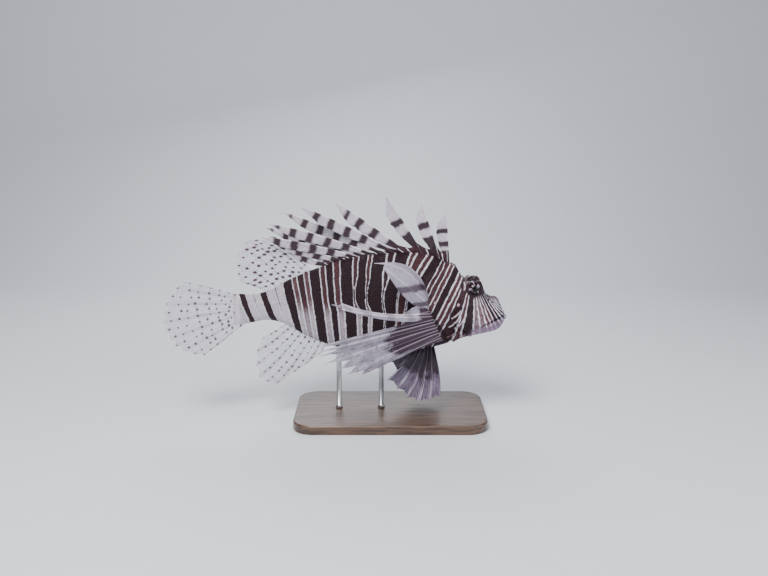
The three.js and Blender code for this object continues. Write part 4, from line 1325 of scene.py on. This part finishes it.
@dataclass
class RayFin:
    """A fin of soft rays with a thin web between them.

    Each ray is a strip of points round its own middle line. Where the web reaches, the strips
    of two neighbours meet on the line between them, and beyond it each ray runs on alone.
    """

    name: str
    controls: Array  # root, bend and tip of each ray
    finish: FinFinish
    node: str
    web: Sequence[float] = ()  # how far along the rays each gap's web reaches
    leaf: Curve | None = None  # half width of each ray's own leaf beyond the web
    steps: int = 90
    columns: int = 8  # on each side of a ray
    crest: Pair = (1.35, 0.45)
    membrane: Pair = (0.42, 0.2)
    ridge: Pair = (0.5, 0.3)  # half width of a ray, at its root and tip
    branches: bool = True
    billow: float = 0.5
    notch: float = 0.0
    seed: int = 1
    dark_to: float = 0.3  # how far along the rays the dark root reaches

    def middle(self, c: Array, t: Array) -> Array:
        """Find points of the fin's middle surface.

        Args:
            c: Which ray, with fractions between two rays.
            t: Share of the way along.

        Returns:
            Points of the straight frame.
        """
        last = len(self.controls) - 1
        i = np.clip(np.floor(c).astype(int), 0, last - 1)
        f = (c - i)[..., None, None]
        before, after = np.maximum(i - 1, 0), np.minimum(i + 2, last)
        a, b, d, e = (self.controls[k] for k in (before, i, i + 1, after))
        line = b + 0.5 * f * (d - a + f * (2 * a - 5 * b + 4 * d - e + f * (3 * (b - d) + e - a)))
        return bow(line[..., 0, :], line[..., 1, :], line[..., 2, :], t[..., None])

    @staticmethod
    def sideways(surface: Callable[[Array, Array], Array], c: Array, t: Array, small: float) -> Array:
        """Find a surface's sideways direction from points a small step apart."""
        across = surface(c + small, t) - surface(c - small, t)
        along = surface(c, t + small) - surface(c, t - small)
        return unit(np.cross(across, along))

    def folded(self, c: Array, t: Array) -> Array:
        """Let the web billow a little to alternate sides of the middle surface."""
        out = self.sideways(self.middle, c, t, 1e-3)
        wave = np.sin(np.pi * c) * np.sin(np.pi * np.clip(t * 1.05, 0, 1)) ** 0.7
        wave = wave + 0.35 * np.sin(np.pi * c) ** 2 * ripple(c * 0.6, t * 1.7, self.seed)
        return self.middle(c, t) + out * (wave * self.billow)[..., None]

    def room(self, i: int, step: int, t: Array) -> Array:
        """Measure from one ray to its neighbour, square to the ray."""
        j = min(max(i + step, 0), len(self.controls) - 1)
        if i == j:
            j = i - step
        here, there = self.middle(np.full(t.shape, float(i)), t), self.middle(np.full(t.shape, float(j)), t)
        along = unit(np.gradient(here, axis=0))
        way = there - here
        return np.linalg.norm(way - (way * along).sum(-1)[:, None] * along, axis=-1) + 0.2

    def strip(self, i: int) -> tuple[Array, Array, Array, list[int]]:
        """Lay out one ray's strip.

        Args:
            i: The ray's number.

        Returns:
            Its ray numbers, shares, offsets, and for each side the first row that is free.
        """
        last = len(self.controls) - 1
        t = np.linspace(0, 1, self.steps + 1)
        k = np.arange(-self.columns, self.columns + 1) / self.columns
        spread = np.sign(k) * np.abs(k) ** 1.25
        free = []
        c = np.full((len(k), len(t)), float(i))
        off = np.zeros(c.shape)
        edge = 0.45 + 0.35 * (1 - t)
        own = edge if self.leaf is None else np.maximum(edge, self.leaf(t) * self._leaf_size(i))
        taper = np.sqrt(np.clip((1 - t) / 0.05, 0, 1))
        own = own * mix(1, taper, smooth(0.9, 1, t)) + 0.04
        for step in SIDES:
            gap = self.room(i, step, t)
            g = i if step > 0 else i - 1
            part = own / gap
            joined = np.zeros(len(t), bool)
            if 0 <= g < last:
                part = np.minimum(part, 0.46)
                reach = self.web[g]
                joined = t <= reach
                scallop = smooth(reach, reach + 0.05 + self.notch, t)
                part = np.where(joined, 0.5, mix(0.47, part, scallop))
            free.append(int(joined.sum()) - 1 if joined.any() else 0)
            pick = spread * step > 0
            c[pick] = i + spread[pick, None] * part
            off[pick] = spread[pick, None] * part * gap
        return c, np.broadcast_to(t, c.shape), off, free

    def _leaf_size(self, i: int) -> float:
        """Read the leaf's half width on ray i, which is 1 on plain fins."""
        return 1.0

    def build(self) -> None:
        """Build the fin, with two faces and walls for each ray's strip."""
        shell = Shell()
        for i in range(len(self.controls)):
            c, t, off, free = self.strip(i)
            p = self.folded(c, t)
            run = np.linalg.norm(np.diff(p, axis=1, prepend=p[:, :1]), axis=-1).cumsum(axis=1)
            profile = self.profile(off, t)
            thick = mix(mix(*self.membrane, t), mix(*self.crest, t), profile)
            lift = self.sideways(self.folded, c, t, 2e-3) * thick[..., None] / 2
            points = np.concatenate([(p + lift).reshape(-1, 3), (p - lift).reshape(-1, 3)])
            values = {"ray": c, "off": off, "run": run, "ridge": profile, **self.marks(i, run, t, p)}
            values = {name: np.tile(v.ravel(), 2) for name, v in values.items()}
            shell.add(BEND.pose(points), both_faces(*c.shape, free), place=points, **values)
        made = shell.build(self.name, self.finish.make(), Slot.FIN, weld=True)
        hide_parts(self.node)

    def marks(self, i: int, run: Array, t: Array, p: Array) -> dict[str, Array]:
        """Say how ray i is marked.

        Args:
            i: The ray's number.
            run: Millimetres from its root.
            t: Share of the way along.
            p: The points themselves.

        Returns:
            The count of bands passed, their strength, and how far the dark root reaches.
        """
        root = smooth(self.dark_to, 0.3 * self.dark_to, t)
        return {"phase": run / self.finish.pitch, "strong": np.ones(t.shape), "root": root}

    def profile(self, off: Array, t: Array) -> Array:
        """Say how raised the ray is at each offset, with branches towards the tip."""
        half = mix(*self.ridge, t)
        if not self.branches:
            return hump(off, half)
        first = 0.75 * smooth(0.3, 0.62, t)
        second = 0.42 * smooth(0.62, 0.95, t)
        total = np.zeros(off.shape)
        for a in SIDES:
            for b in SIDES:
                total = np.maximum(total, hump(off - a * first - b * second, half))
        return total


@dataclass
class PectoralFin(RayFin):
    """A pectoral fan: two long leaves above, and a lower fan with a dark root."""

    leaf_sizes: Curve = Curve((0, 7.2), (1, 8.8), (2, 1.5), (3, 1.6), (4, 3.6), (5, 2.4), (13, 1.6))
    # By height on the leaves, and by the way along the ray on the fan.
    leaf_bands: Curve = Curve((-20, -0.3), (-1, 0.05), (5.5, 0.5), (13, 1), (20.5, 1.5), (31, 2), (60, 2.3))
    bands: Curve = Curve((0, -0.3), (7, 0.5), (28, 1.5), (49, 2.5), (75, 3.6), (120, 6))
    band_strength: Curve = Curve((0, 1), (1, 0.95), (2, 0.5), (4, 0.5), (6, 0.32), (13, 0.36))
    dark_root: Curve = Curve((0, 2), (1, 3), (2, 16), (4, 20), (5, 50), (8, 62), (13, 44))
    haze: Curve = Curve((3, 0), (5, 0.36), (13, 0.34))  # the lower fan's dusky ends

    def _leaf_size(self, i: int) -> float:
        """Read the leaf's half width on ray i."""
        return float(self.leaf_sizes(i))

    def marks(self, i: int, run: Array, t: Array, p: Array) -> dict[str, Array]:
        """Band the leaves clearly and the lower fan softly, over a dark root."""
        dark = float(self.dark_root(i))
        strong = float(self.band_strength(i)) * smooth(1.0, 0.9, t)
        phase = self.leaf_bands(p[..., 2]) if i < 2 else self.bands(run)
        root = np.maximum(smooth(dark * 1.25, dark * 0.6, run), float(self.haze(i)))
        return {"phase": phase, "strong": strong, "root": root}


def way_at(angle: float) -> Array:
    """Find the direction in the middle plane at an angle, in degrees, up from the snout's way."""
    turn = math.radians(angle)
    return np.array([-math.cos(turn), 0, math.sin(turn)])


def median_fin(
    name: str, node: str, feet: Pair, edge: Curve, angle: Curve, length: Curve, lag: float,
    finish: FinFinish, count: int, seed: int,
) -> RayFin:
    """Size a fin on the middle of the back or belly.

    Args:
        name: The piece's name.
        node: The solid that it stands for.
        feet: The first and last ray's station.
        edge: The body's edge at a station.
        angle: Each ray's direction, in degrees, by share.
        length: Each ray's length, by share.
        lag: How far each ray bows towards the tail, as a share of its length.
        finish: The fin's finish.
        count: How many rays.
        seed: Picks the web's billows.

    Returns:
        The fin, ready to build.
    """
    sink, web = 4, 0.95
    rays = []
    for i in range(count):
        u = i / (count - 1)
        s = mix(*feet, u)
        way = way_at(float(angle(u)))
        root = np.array([s, 0, float(edge(s))]) - way * sink
        full = float(length(u)) + sink
        tip = root + way * full
        bend = mix(root, tip, 0.55) + np.array([way[2], 0, -way[0]]) * lag * full
        rays.append([root, bend, tip])
    return RayFin(name, np.array(rays), finish, node, [web] * (count - 1), seed=seed)


CLEAR = {"web": (0.58, 0.58, 0.68), "ray": (0.60, 0.55, 0.62), "clear": 0.22}


def soft_dorsal() -> RayFin:
    """Size the soft dorsal fin."""
    angle = Curve((0, 142), (0.5, 140), (1, 158))
    length = Curve((0, 40), (0.3, 51), (0.6, 47), (1, 24))
    finish = FinFinish("fin_soft_dorsal", Pattern.SPOTS, pitch=6.6, size=1.05, strength=0.97, **CLEAR)
    return median_fin(
        "soft_dorsal", "dorsal_fin_soft", (170, 209), FORM.back, angle, length, lag=-0.06, finish=finish,
        count=10, seed=21,
    )


def anal_fin() -> RayFin:
    """Size the anal fin."""
    angle = Curve((0, 242), (0.5, 231), (1, 212))
    length = Curve((0, 13), (0.2, 30), (0.38, 52), (0.55, 56), (0.8, 44), (1, 24))
    finish = FinFinish("fin_anal", Pattern.SPOTS, pitch=6.4, size=0.8, strength=0.85, **CLEAR)
    return median_fin(
        "anal_fin_web", "anal_fin", (158, 193), FORM.belly, angle, length, lag=0.06, finish=finish,
        count=9, seed=22,
    )


def tail_fin() -> RayFin:
    """Size the tail fin."""
    rays = []
    length = Curve((0, 56), (0.25, 67), (0.5, 71), (0.75, 66), (1, 50))
    for i in range(12):
        u = i / 11
        way = way_at(mix(163, 218, u))
        root = np.array([mix(225, 227, math.sin(math.pi * u)), 0, mix(6, -14, u)]) - way * 2
        tip = root + way * (float(length(u)) + 2)
        rays.append([root, mix(root, tip, 0.55), tip])
    finish = FinFinish("fin_tail", Pattern.SPOTS, pitch=8.2, size=0.85, strength=0.92, **CLEAR)
    web = [0.95] * 11
    return RayFin("tail_fin_web", np.array(rays), finish, "tail_fin", web, crest=(1.5, 0.45), seed=23)


def pectoral(side: int) -> PectoralFin:
    """Size one fan of long, leafy pectoral rays.

    Args:
        side: -1 for the right side, 1 for the left.

    Returns:
        The fin, ready to build.
    """
    tip_s = Curve(
        (0, 113.8), (1, 105.9), (2, 139), (3, 147), (4, 139), (5, 157), (7, 158.5), (9, 146), (11, 125),
        (13, 94),
    )
    tip_y = Curve(
        (0, 40.8), (1, 54.2), (2, 71.5), (3, 79.5), (4, 78.5), (5, 80), (7, 76), (9, 66), (11, 50), (13, 35),
    )
    tip_z = Curve(
        (0, 43), (1, 41.7), (2, 16), (3, 17), (4, 12.5), (5, -17), (7, -27), (9, -42), (11, -51), (13, -40),
    )
    lift = Curve((0, 28), (1, 10.7), (2, -9.3), (3, -4.8), (4, -3.2), (5, 0), (13, 0))
    web = (0.93, 0.25, 0.94, 0.94, 0.3, 0.8, 0.82, 0.84, 0.84, 0.86, 0.88, 0.9, 0.92)
    rays = []
    for j in range(len(web) + 1):
        u = j / len(web)
        s, z = mix(71, 57, u), mix(3, -29, u)
        wall = float(FORM.flank(s, z))
        root = np.array([s - 5, side * (wall - 4), z])
        start = np.array([s + 12, side * (wall + 16), z + 1])
        tip = np.array([float(tip_s(j)), side * float(tip_y(j)), float(tip_z(j))])
        up = float(lift(j))
        rays.append([root, mix(start, tip, 0.28) + np.array([-0.4 * up, 0, up]), tip])
    finish = FinFinish(
        f"fin_pectoral_{WORDS[side]}", Pattern.BANDS, web=(0.50, 0.45, 0.56), ray=(0.62, 0.55, 0.64),
        mark=(0.034, 0.013, 0.028), clear=0.68, size=0.36, strength=0.88, base=0.98, lines=0.26,
    )
    t = np.linspace(0, 1, 12)
    swell = np.sin(np.pi * np.clip((t - 0.05) / 0.95, 0, 1) ** 0.82) ** 0.75
    leaf = Curve(*zip(t.tolist(), swell.tolist()))
    return PectoralFin(
        f"pectoral_{WORDS[side]}_web", np.array(rays), finish, f"pectoral_fin_{WORDS[side]}", web, leaf,
        steps=110, columns=9, crest=(1.7, 0.5), membrane=(0.5, 0.22), ridge=(0.6, 0.3), branches=False,
        billow=0.9, notch=0.06, seed=24,
    )


def pelvic(side: int) -> RayFin:
    """Size one pelvic fin.

    Args:
        side: -1 for the right side, 1 for the left.

    Returns:
        The fin, ready to build.
    """
    rays = []
    tip_s, tip_z = Curve((0, 56), (0.4, 76), (1, 103)), Curve((0, -80), (0.35, -84), (1, -62))
    for i in range(6):
        u = i / 5
        root = np.array([mix(62, 74, u), side * 6, -38])
        tip = np.array([float(tip_s(u)), side * mix(22, 30, u), float(tip_z(u))])
        rays.append([root, mix(root, tip, 0.5) + np.array([-3, side * 4, 2]), tip])
    finish = FinFinish(
        f"fin_pelvic_{WORDS[side]}", Pattern.STREAKS, web=(0.21, 0.16, 0.25), ray=(0.44, 0.38, 0.48),
        mark=(0.014, 0.006, 0.014), clear=0.85, strength=0.92, base=1.0, lines=0.12,
    )
    return RayFin(
        f"pelvic_{WORDS[side]}_web", np.array(rays), finish, f"pelvic_fin_{WORDS[side]}", [0.93] * 5,
        steps=60, crest=(1.5, 0.5), seed=25, dark_to=0.95,
    )


@dataclass
class SpinyDorsal:
    """Thirteen long dorsal spines, each with a leaf behind it, and a web between their feet."""

    skin: Skin
    finish: FinFinish
    count: int = 13
    sink: float = 5
    foot: Curve = Curve((0, 49), (1, 56.5), (2, 70), (3, 81), (5, 99), (8, 122), (12, 153))
    lean: Curve = Curve(
        (0, 93), (1, 106), (2, 119), (3, 141), (4, 148), (6, 157), (8, 161), (10, 158), (12, 148),
    )
    length: Curve = Curve(
        (0, 49), (1, 55), (2, 65), (3, 83), (4, 98), (5, 103), (7, 98), (9, 78), (11, 50), (12, 38),
    )
    splay: Curve = Curve((0, 3), (2, 5), (4, 10), (7, 13), (12, 5))
    leaf: Curve = Curve((0, 9), (2, 9.5), (5, 8), (9, 7), (12, 6))
    droop: float = 0.08
    thick: Pair = (2.2, 0.45)
    leaf_thick: float = 0.5
    web: Curve = Curve((0, 12.5), (2, 13), (4, 12), (8, 10), (12, 8))
    dark_root: Curve = Curve((0, 11), (1, 21), (2, 21), (4, 16), (8, 12), (12, 8))
    first_band: Curve = Curve((0, 16.5), (1, 31), (2, 35), (4, 30), (8, 24), (12, 18))
    band_pitch: Curve = Curve((0, 12.5), (1, 16), (12, 16.5))
    pale_tip: Curve = Curve((0, 0.74), (2, 0.72), (4, 0.9), (12, 0.95))
    steps: int = 90
    around: int = 10  # points round a spine and across a leaf
    web_rows: int = 26

    def spine(self, i: int, t: Array) -> tuple[Array, Array]:
        """Trace one spine.

        Args:
            i: The spine's number.
            t: Shares of the way along.

        Returns:
            Its points, and the direction of its leaf.
        """
        s, way = float(self.foot(i)), way_at(float(self.lean(i)))
        full = float(self.length(i)) + self.sink
        root = np.array([s, 0, float(FORM.back(s)) - self.sink])
        side = 1 if i % 2 else -1
        tip = root + way * full + np.array([0, side * float(self.splay(i)), -self.droop * full])
        bend = root + 0.55 * full * way
        t = t[:, None]
        along = unit(2 * (1 - t) * (bend - root) + 2 * t * (tip - bend))
        behind = unit(np.stack([along[:, 2], np.zeros(len(along)), -along[:, 0]], axis=-1))
        return bow(root, bend, tip, t), behind

    def build(self) -> None:
        """Build spines and leaves as one piece, and the web in the skin's finish as another."""
        shell, web = Shell(), Shell()
        for i in range(self.count):
            self._shaft(shell, i)
            self._leaf(shell, i)
            if i < self.count - 1:
                self._web(web, i)
        fin = shell.build("spiny_dorsal", self.finish.make(), Slot.FIN)
        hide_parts("dorsal_fin_spiny")
        finish = SkinFinish(name="skin_on_dorsal_web", brown=(0.050, 0.017, 0.022))
        web.build("spiny_dorsal_web", finish.make(), Slot.SKIN)

    def _values(self, p: Array, i: int, off: Array, t: Array, ridge: Array) -> dict[str, Array]:
        """Gather the values that the fin's finish reads.

        Args:
            p: Points of the straight frame.
            i: The spine's number.
            off: Millimetres behind the spine.
            t: Share of the way along.
            ridge: How far the point belongs to the shaft.

        Returns:
            The named values, one per point.
        """
        run = t * (float(self.length(i)) + self.sink) - self.sink
        dark = float(self.dark_root(i))
        phase = (run - float(self.first_band(i))) / float(self.band_pitch(i)) + 4.5
        named = {
            "ray": float(i), "off": off, "run": run, "ridge": ridge, "phase": phase,
            "strong": smooth(self.pale_tip(i) + 0.04, self.pale_tip(i) - 0.02, t),
            "root": smooth(dark + 2, dark - 3, run),
        }
        flat = {name: np.broadcast_to(v, p.shape[:-1]).ravel() for name, v in named.items()}
        return {**flat, "place": p.reshape(-1, 3)}

    def _shaft(self, shell: Shell, i: int) -> None:
        """Add one spine's tapered, lightly grooved shaft."""
        t = np.linspace(0, 1, self.steps)
        p, behind = self.spine(i, t)
        along = unit(np.gradient(p, axis=0))
        side = unit(np.cross(along, behind))
        angle = np.arange(self.around) * 2 * np.pi / self.around
        radius = mix(self.thick[0], self.thick[1], t**0.8) / 2 * np.sqrt(np.clip((1.004 - t) / 0.02, 0, 1))
        groove = 1 - 0.12 * (1 + np.cos(angle * 3)) / 2
        ring = np.cos(angle)[:, None] * behind[:, None] + np.sin(angle)[:, None] * side[:, None]
        q = p[:, None] + ring * (radius[:, None] * groove)[..., None]
        faces = grid(len(t), self.around, closed=True)
        shell.add(BEND.pose(q), faces, **self._values(q, i, 0.0, t[:, None], 1.0))

    def _leaf(self, shell: Shell, i: int) -> None:
        """Add the leaf behind one spine, with a ragged hind edge and a pointed tip.

        Args:
            shell: Takes the leaf.
            i: The spine's number.
        """
        t = np.linspace(0.05, 0.99, self.steps)
        u = np.linspace(0, 1, self.around)
        p, behind = self.spine(i, t)
        swell = np.sin(np.pi * np.clip((t - 0.16) / 0.88, 0, 1)) ** 0.8
        full = float(self.length(i))
        rag = 1 + 0.06 * ripple(t * full / 6, np.full(t.shape, float(i)), 31)
        rag = rag * (1 + 0.03 * np.abs(np.sin(t * full / 2.1 + i)))
        wide = float(self.leaf(i)) * mix(0.26, 1, swell) * rag * np.clip((1 - t) / 0.22, 0, 1) ** 0.75
        off = u[:, None] * wide
        wave = 0.6 * ripple(off / 14, t * full / 17 + i, 32) * u[:, None]
        lift = np.cross(unit(np.gradient(p, axis=0)), behind)
        q = p[None] + behind[None] * off[..., None] + lift[None] * wave[..., None]
        thick = mix(self.leaf_thick, 0.14, u[:, None]) * np.ones((1, len(t)))
        points, faces = sheet(q, thick)
        q = np.stack([q, q])
        shell.add(points, faces, **self._values(q, i, off[None], t, 0.3 * hump(off, 0.6)[None]))

    def _web(self, shell: Shell, i: int) -> None:
        """Add the web from one spine to the next, with the skin's lines leaning back over it.

        Args:
            shell: Takes the web.
            i: The first spine's number.
        """
        t = u = np.linspace(0, 1, self.web_rows)
        ends = []
        for k in (i, i + 1):
            top = (self.sink + float(self.web(k))) / (float(self.length(k)) + self.sink)
            ends.append(self.spine(k, np.linspace(0.02, top, self.web_rows))[0])
        high = 1 - 0.45 * np.sin(np.pi * u) ** 0.8 * (1 - 0.3 * u)
        q = []
        for share, reach in zip(u, high):
            line = mix(*ends, share)
            q.append(np.stack([np.interp(t * reach, t, line[:, a]) for a in range(3)], axis=-1))
        q = np.array(q)
        q[..., 1] += 0.35 * np.sin(np.pi * u)[:, None] * np.sin(2 * np.pi * t)[None]
        points, faces = sheet(q, np.broadcast_to(mix(1.5, 0.5, t), q.shape[:2]))
        station = mix(float(self.foot(i)), float(self.foot(i + 1)), u)
        onto = point(station, 0.0, FORM.back(station) - 2)
        values = self.skin.marks(np.broadcast_to(onto[:, None], q.shape))
        values["place"] = q
        values["clear"] = np.ones(q.shape[:2]) * smooth(1.0, 0.85, t)
        shell.add(points, faces, **{name: np.stack([v, v]) for name, v in values.items()})


@dataclass(frozen=True)
class Flap:
    """One leafy flap of skin on the head."""

    s: float
    z: float
    length: float
    width: float
    toward: Triple


@dataclass
class Flaps:
    """The skin flaps on the snout and along the jaw, on both sides."""

    skin: Skin
    flaps: tuple[Flap, ...] = (
        Flap(3.5, -4.5, 5.5, 2.4, (-0.7, 0.5, -0.2)),
        Flap(11, 3, 4, 2, (-0.4, 0.8, 0.6)),
        Flap(27, -22.5, 6, 2.8, (0.4, 0.4, -0.8)),
        Flap(36, -24, 8.5, 3.4, (0.7, 0.4, -0.8)),
        Flap(44, -23.5, 7, 3, (1.0, 0.4, -0.6)),
    )
    thick: Pair = (1.1, 0.3)
    sink: float = 2.2
    rows: int = 44
    columns: int = 15

    def build(self, finish: Material) -> None:
        """Build every flap, in the skin's material, as one joined piece."""
        shell = Shell()
        for number, flap in enumerate(self.flaps):
            for side in SIDES:
                self._add(shell, flap, side, number)
        shell.build("skin_flaps", finish, Slot.SKIN)

    def _add(self, shell: Shell, flap: Flap, side: int, number: int) -> None:
        """Add one flap with a bowed, ragged-edged blade.

        Args:
            shell: Takes the flap.
            flap: Its place and size.
            side: -1 for the right side, 1 for the left.
            number: Varies its ragged edge and its veins.
        """
        y = float(FORM.flank(flap.s, flap.z))
        way = unit(np.array(flap.toward) * (1, side, 1))
        out = np.array([0.0, side, 0])
        across = unit(np.cross(way, out))
        root = np.array([flap.s, side * y, flap.z]) - way * self.sink
        t = np.linspace(0, 1, self.rows)
        u = np.linspace(-1, 1, self.columns)
        lobes = 1 + 0.2 * np.sin(t * 13 + number) * smooth(0.2, 0.5, t) + 0.07 * np.sin(t * 31 + 2 * number)
        half = flap.width / 2 * (0.55 + 1.6 * t - 1.9 * t**2)
        half = half * lobes * np.clip((1.001 - t) / 0.4, 0, 1) ** 0.7
        full = flap.length + self.sink
        p = root + way * (t * full)[None, :, None] + across * (u[:, None] * half)[..., None]
        cup = 0.5 * half * (1 - u[:, None] ** 2) + 0.16 * full * np.sin(2.6 * t + number) * t
        p = p + out * cup[..., None] + np.array([1.0, 0, 0.2]) * (0.22 * full * t**2)[None, :, None]
        thick = mix(*self.thick, t)[None] * (1 - 0.75 * np.abs(u[:, None]) ** 2)
        points, faces = sheet(p, thick)
        values = self.skin.marks(np.stack([p, p]).reshape(-1, 3))
        veins = 0.5 + 0.5 * np.sin(t * 9 + 2.5 * np.abs(u[:, None]) + number)
        values["tone"] = np.tile(mix(0.85, 0.3, veins).ravel(), 2)
        values["clear"] = values["clear"] * 0.35
        shell.add(points, faces, **values)


@dataclass
class Stand:
    """A rounded wooden base with two steel rods under the belly."""

    length: float = 170
    width: float = 96
    thick: float = 8
    corner: float = 18
    edge: float = 1.6
    rods: tuple[tuple[float, str], ...] = ((-8, "front"), (-46, "rear"))
    collar: Pairs = ((0.01, 0), (2.9, 0), (3.1, 0.2), (3.1, 2.6), (2.8, 2.9), (2.35, 3.1))  # radius, height
    shoulder: Pairs = ((2.35, -3.4), (2.5, -2.6))  # radius, height over the top
    dome: float = 2.5  # radius
    around: int = 40  # points round a rod

    def build(self) -> None:
        """Build base and rods."""
        self._base()
        steel = SteelFinish().make()
        for x, word in self.rods:
            self._rod(x, word, steel)

    def _base(self) -> None:
        """Build the base plate with a rounded top edge."""
        outline = []
        for quarter, (ahead, left) in enumerate(((1, 1), (-1, 1), (-1, -1), (1, -1))):
            for k in range(13):
                angle = math.radians(90 * quarter + 90 * k / 12)
                x = ahead * (self.length / 2 - self.corner) + self.corner * math.cos(angle)
                y = left * (self.width / 2 - self.corner) + self.corner * math.sin(angle)
                outline.append((x, y))
        outline = np.array(outline)
        rings = []
        for inset, z in self._edge():
            scale = 1 - 2 * inset / np.array([self.length, self.width])
            rings.append(np.column_stack([outline * scale, np.full(len(outline), z)]))
        p = np.array(rings) * MM
        shell = Shell()
        shell.add(p, grid(len(rings), len(outline), closed=True)[:, ::-1])
        shell.faces.append(list(range(len(outline))))
        last = (len(rings) - 1) * len(outline)
        shell.faces.append([last + k for k in reversed(range(len(outline)))])
        made = shell.build("display_base", WoodFinish().make(), Slot.STAND_BASE)
        made.data.shade_flat()
        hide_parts("stand_base")

    def _edge(self) -> list[Pair]:
        """List inset and height up the base's side, from the underside to the top."""
        steps = [(0.5, 0.0), (0.0, 0.5)]
        for k in range(7):
            angle = math.radians(15 * k)
            inset, drop = self.edge * (1 - math.cos(angle)), self.edge * (1 - math.sin(angle))
            steps.append((inset, self.thick - drop))
        return steps

    def _rod(self, x: float, word: str, finish: Material) -> None:
        """Build one rod with a collar at its foot and a domed top against the belly."""
        low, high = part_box(f"stand_rod_{word}")
        foot, top = low[2] / MM, high[2] / MM
        y = float(BEND.pose(point(BEND.snout_x - x, 0, 0))[1]) / MM
        rise = top - foot
        outline = [*self.collar, *((radius, rise + height) for radius, height in self.shoulder)]
        for a in np.linspace(0.1, 1.56, 8):
            outline.append((self.dome * math.cos(a), rise - self.dome + self.dome * math.sin(a)))
        turn = np.arange(self.around) * 2 * np.pi / self.around
        r, z = np.array(outline).T[..., None]
        p = point(x + r * np.cos(turn), y + r * np.sin(turn), foot + z)
        shell = Shell()
        shell.add(p * MM, grid(len(r), self.around, closed=True)[:, ::-1])
        made = shell.build(f"display_rod_{word}", finish, Slot.STAND_ROD)
        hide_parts(f"stand_rod_{word}")


@dataclass(frozen=True)
class Light:
    """One soft square light."""

    name: str
    at: Triple
    size: float
    power: float  # watts
    colour: Triple


@dataclass
class Studio:
    """A pale floor, soft light and the camera at the photograph's angle."""

    lights: tuple[Light, ...] = (
        Light("key", (-260, -560, 820), 380, 15.0, (1.0, 0.98, 0.96)),
        Light("fill", (640, -420, 380), 520, 3.6, (0.93, 0.96, 1.0)),
        Light("back", (-120, 640, 620), 480, 5.0, (0.96, 0.97, 1.0)),
    )
    air: Triple = (0.78, 0.82, 0.90)
    air_power: float = 0.34
    floor_front: float = -1400
    floor_back: float = 900
    floor_side: float = 2200
    floor_curve: float = 350  # radius of the curve up into the wall
    floor_drop: float = 0.3  # how far it lies below the stand
    wall: float = 1500
    target: Triple = (-5.6, 0, 118.5)
    distance: float = 800
    elevation: float = 12
    lens: float = 42.6

    def build(self) -> None:
        """Build floor, lights and camera."""
        self._floor()
        for light in self.lights:
            self._light(light)
        world = bpy.data.worlds.new("soft_room")
        world.use_nodes = True
        air = world.node_tree.nodes["Background"].inputs
        air["Color"].default_value = (*self.air, 1)
        air["Strength"].default_value = self.air_power
        bpy.context.scene.world = world
        self._camera()

    @staticmethod
    def _put(name: str, data: bpy.types.ID, at: Vector, way: Vector) -> Object:
        """Put a light, the camera or a mesh at a place, in millimetres, facing a way."""
        made = bpy.data.objects.new(name, data)
        made.location = at * MM
        made.rotation_euler = way.to_track_quat("-Z", "Y").to_euler()
        bpy.context.scene.collection.objects.link(made)
        return made

    def _light(self, light: Light) -> None:
        """Add one light, facing the model."""
        lamp = bpy.data.lights.new(light.name, "AREA")
        lamp.size = light.size * MM
        lamp.energy = light.power
        lamp.color = light.colour
        self._put(light.name, lamp, Vector(light.at), Vector(self.target) - Vector(light.at))

    def _camera(self) -> None:
        """Place the camera at the photograph's height and distance."""
        data = bpy.data.cameras.new("camera")
        data.lens = self.lens
        data.sensor_width = 36
        data.clip_start = 0.01
        tilt = math.radians(self.elevation)
        way = Vector((0, -math.cos(tilt), math.sin(tilt)))
        at = Vector(self.target) + way * self.distance
        bpy.context.scene.camera = self._put("camera", data, at, -way)

    def _floor(self) -> None:
        """Lay the pale floor, with a back that curves up behind the model."""
        flat_to, curve = self.floor_back - self.floor_curve, self.floor_curve
        outline = [(self.floor_front, 0.0), (flat_to, 0.0)]
        for k in range(1, 16):
            angle = math.radians(6 * k)
            outline.append((flat_to + curve * math.sin(angle), curve * (1 - math.cos(angle))))
        outline.append((self.floor_back, self.wall))
        sides = (-self.floor_side, self.floor_side)
        p = np.array([[(x, y, z - self.floor_drop) for y, z in outline] for x in sides]) * MM
        mesh = bpy.data.meshes.new("studio_floor")
        mesh.from_pydata(p.reshape(-1, 3).tolist(), [], grid(2, len(outline)).tolist())
        mesh.shade_smooth()
        mesh.materials.append(PaperFinish().make())
        made = bpy.data.objects.new("studio_floor", mesh)
        bpy.context.scene.collection.objects.link(made)


def main() -> None:
    """Load the frame, dress the fish, build stand and studio, and log each piece's face count."""
    logging.basicConfig(level=logging.INFO, format="%(name)s: %(message)s")
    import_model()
    skin = Skin()
    body = skin.build()
    coat = body.data.materials[0]
    Scales(skin).build(coat)
    Eyes(skin).build()
    Flaps(skin).build(coat)
    banded = FinFinish(
        "fin_spiny_dorsal", Pattern.BANDS, web=(0.60, 0.54, 0.62), ray=(0.68, 0.62, 0.68),
        mark=(0.020, 0.006, 0.012), clear=0.72, size=0.42, strength=0.97, base=0.97,
    )
    SpinyDorsal(skin, banded).build()
    for fin in (soft_dorsal(), anal_fin(), tail_fin()):
        fin.build()
    for side in SIDES:
        pectoral(side).build()
        pelvic(side).build()
    Stand().build()
    Studio().build()


if __name__ == "__main__":
    main()
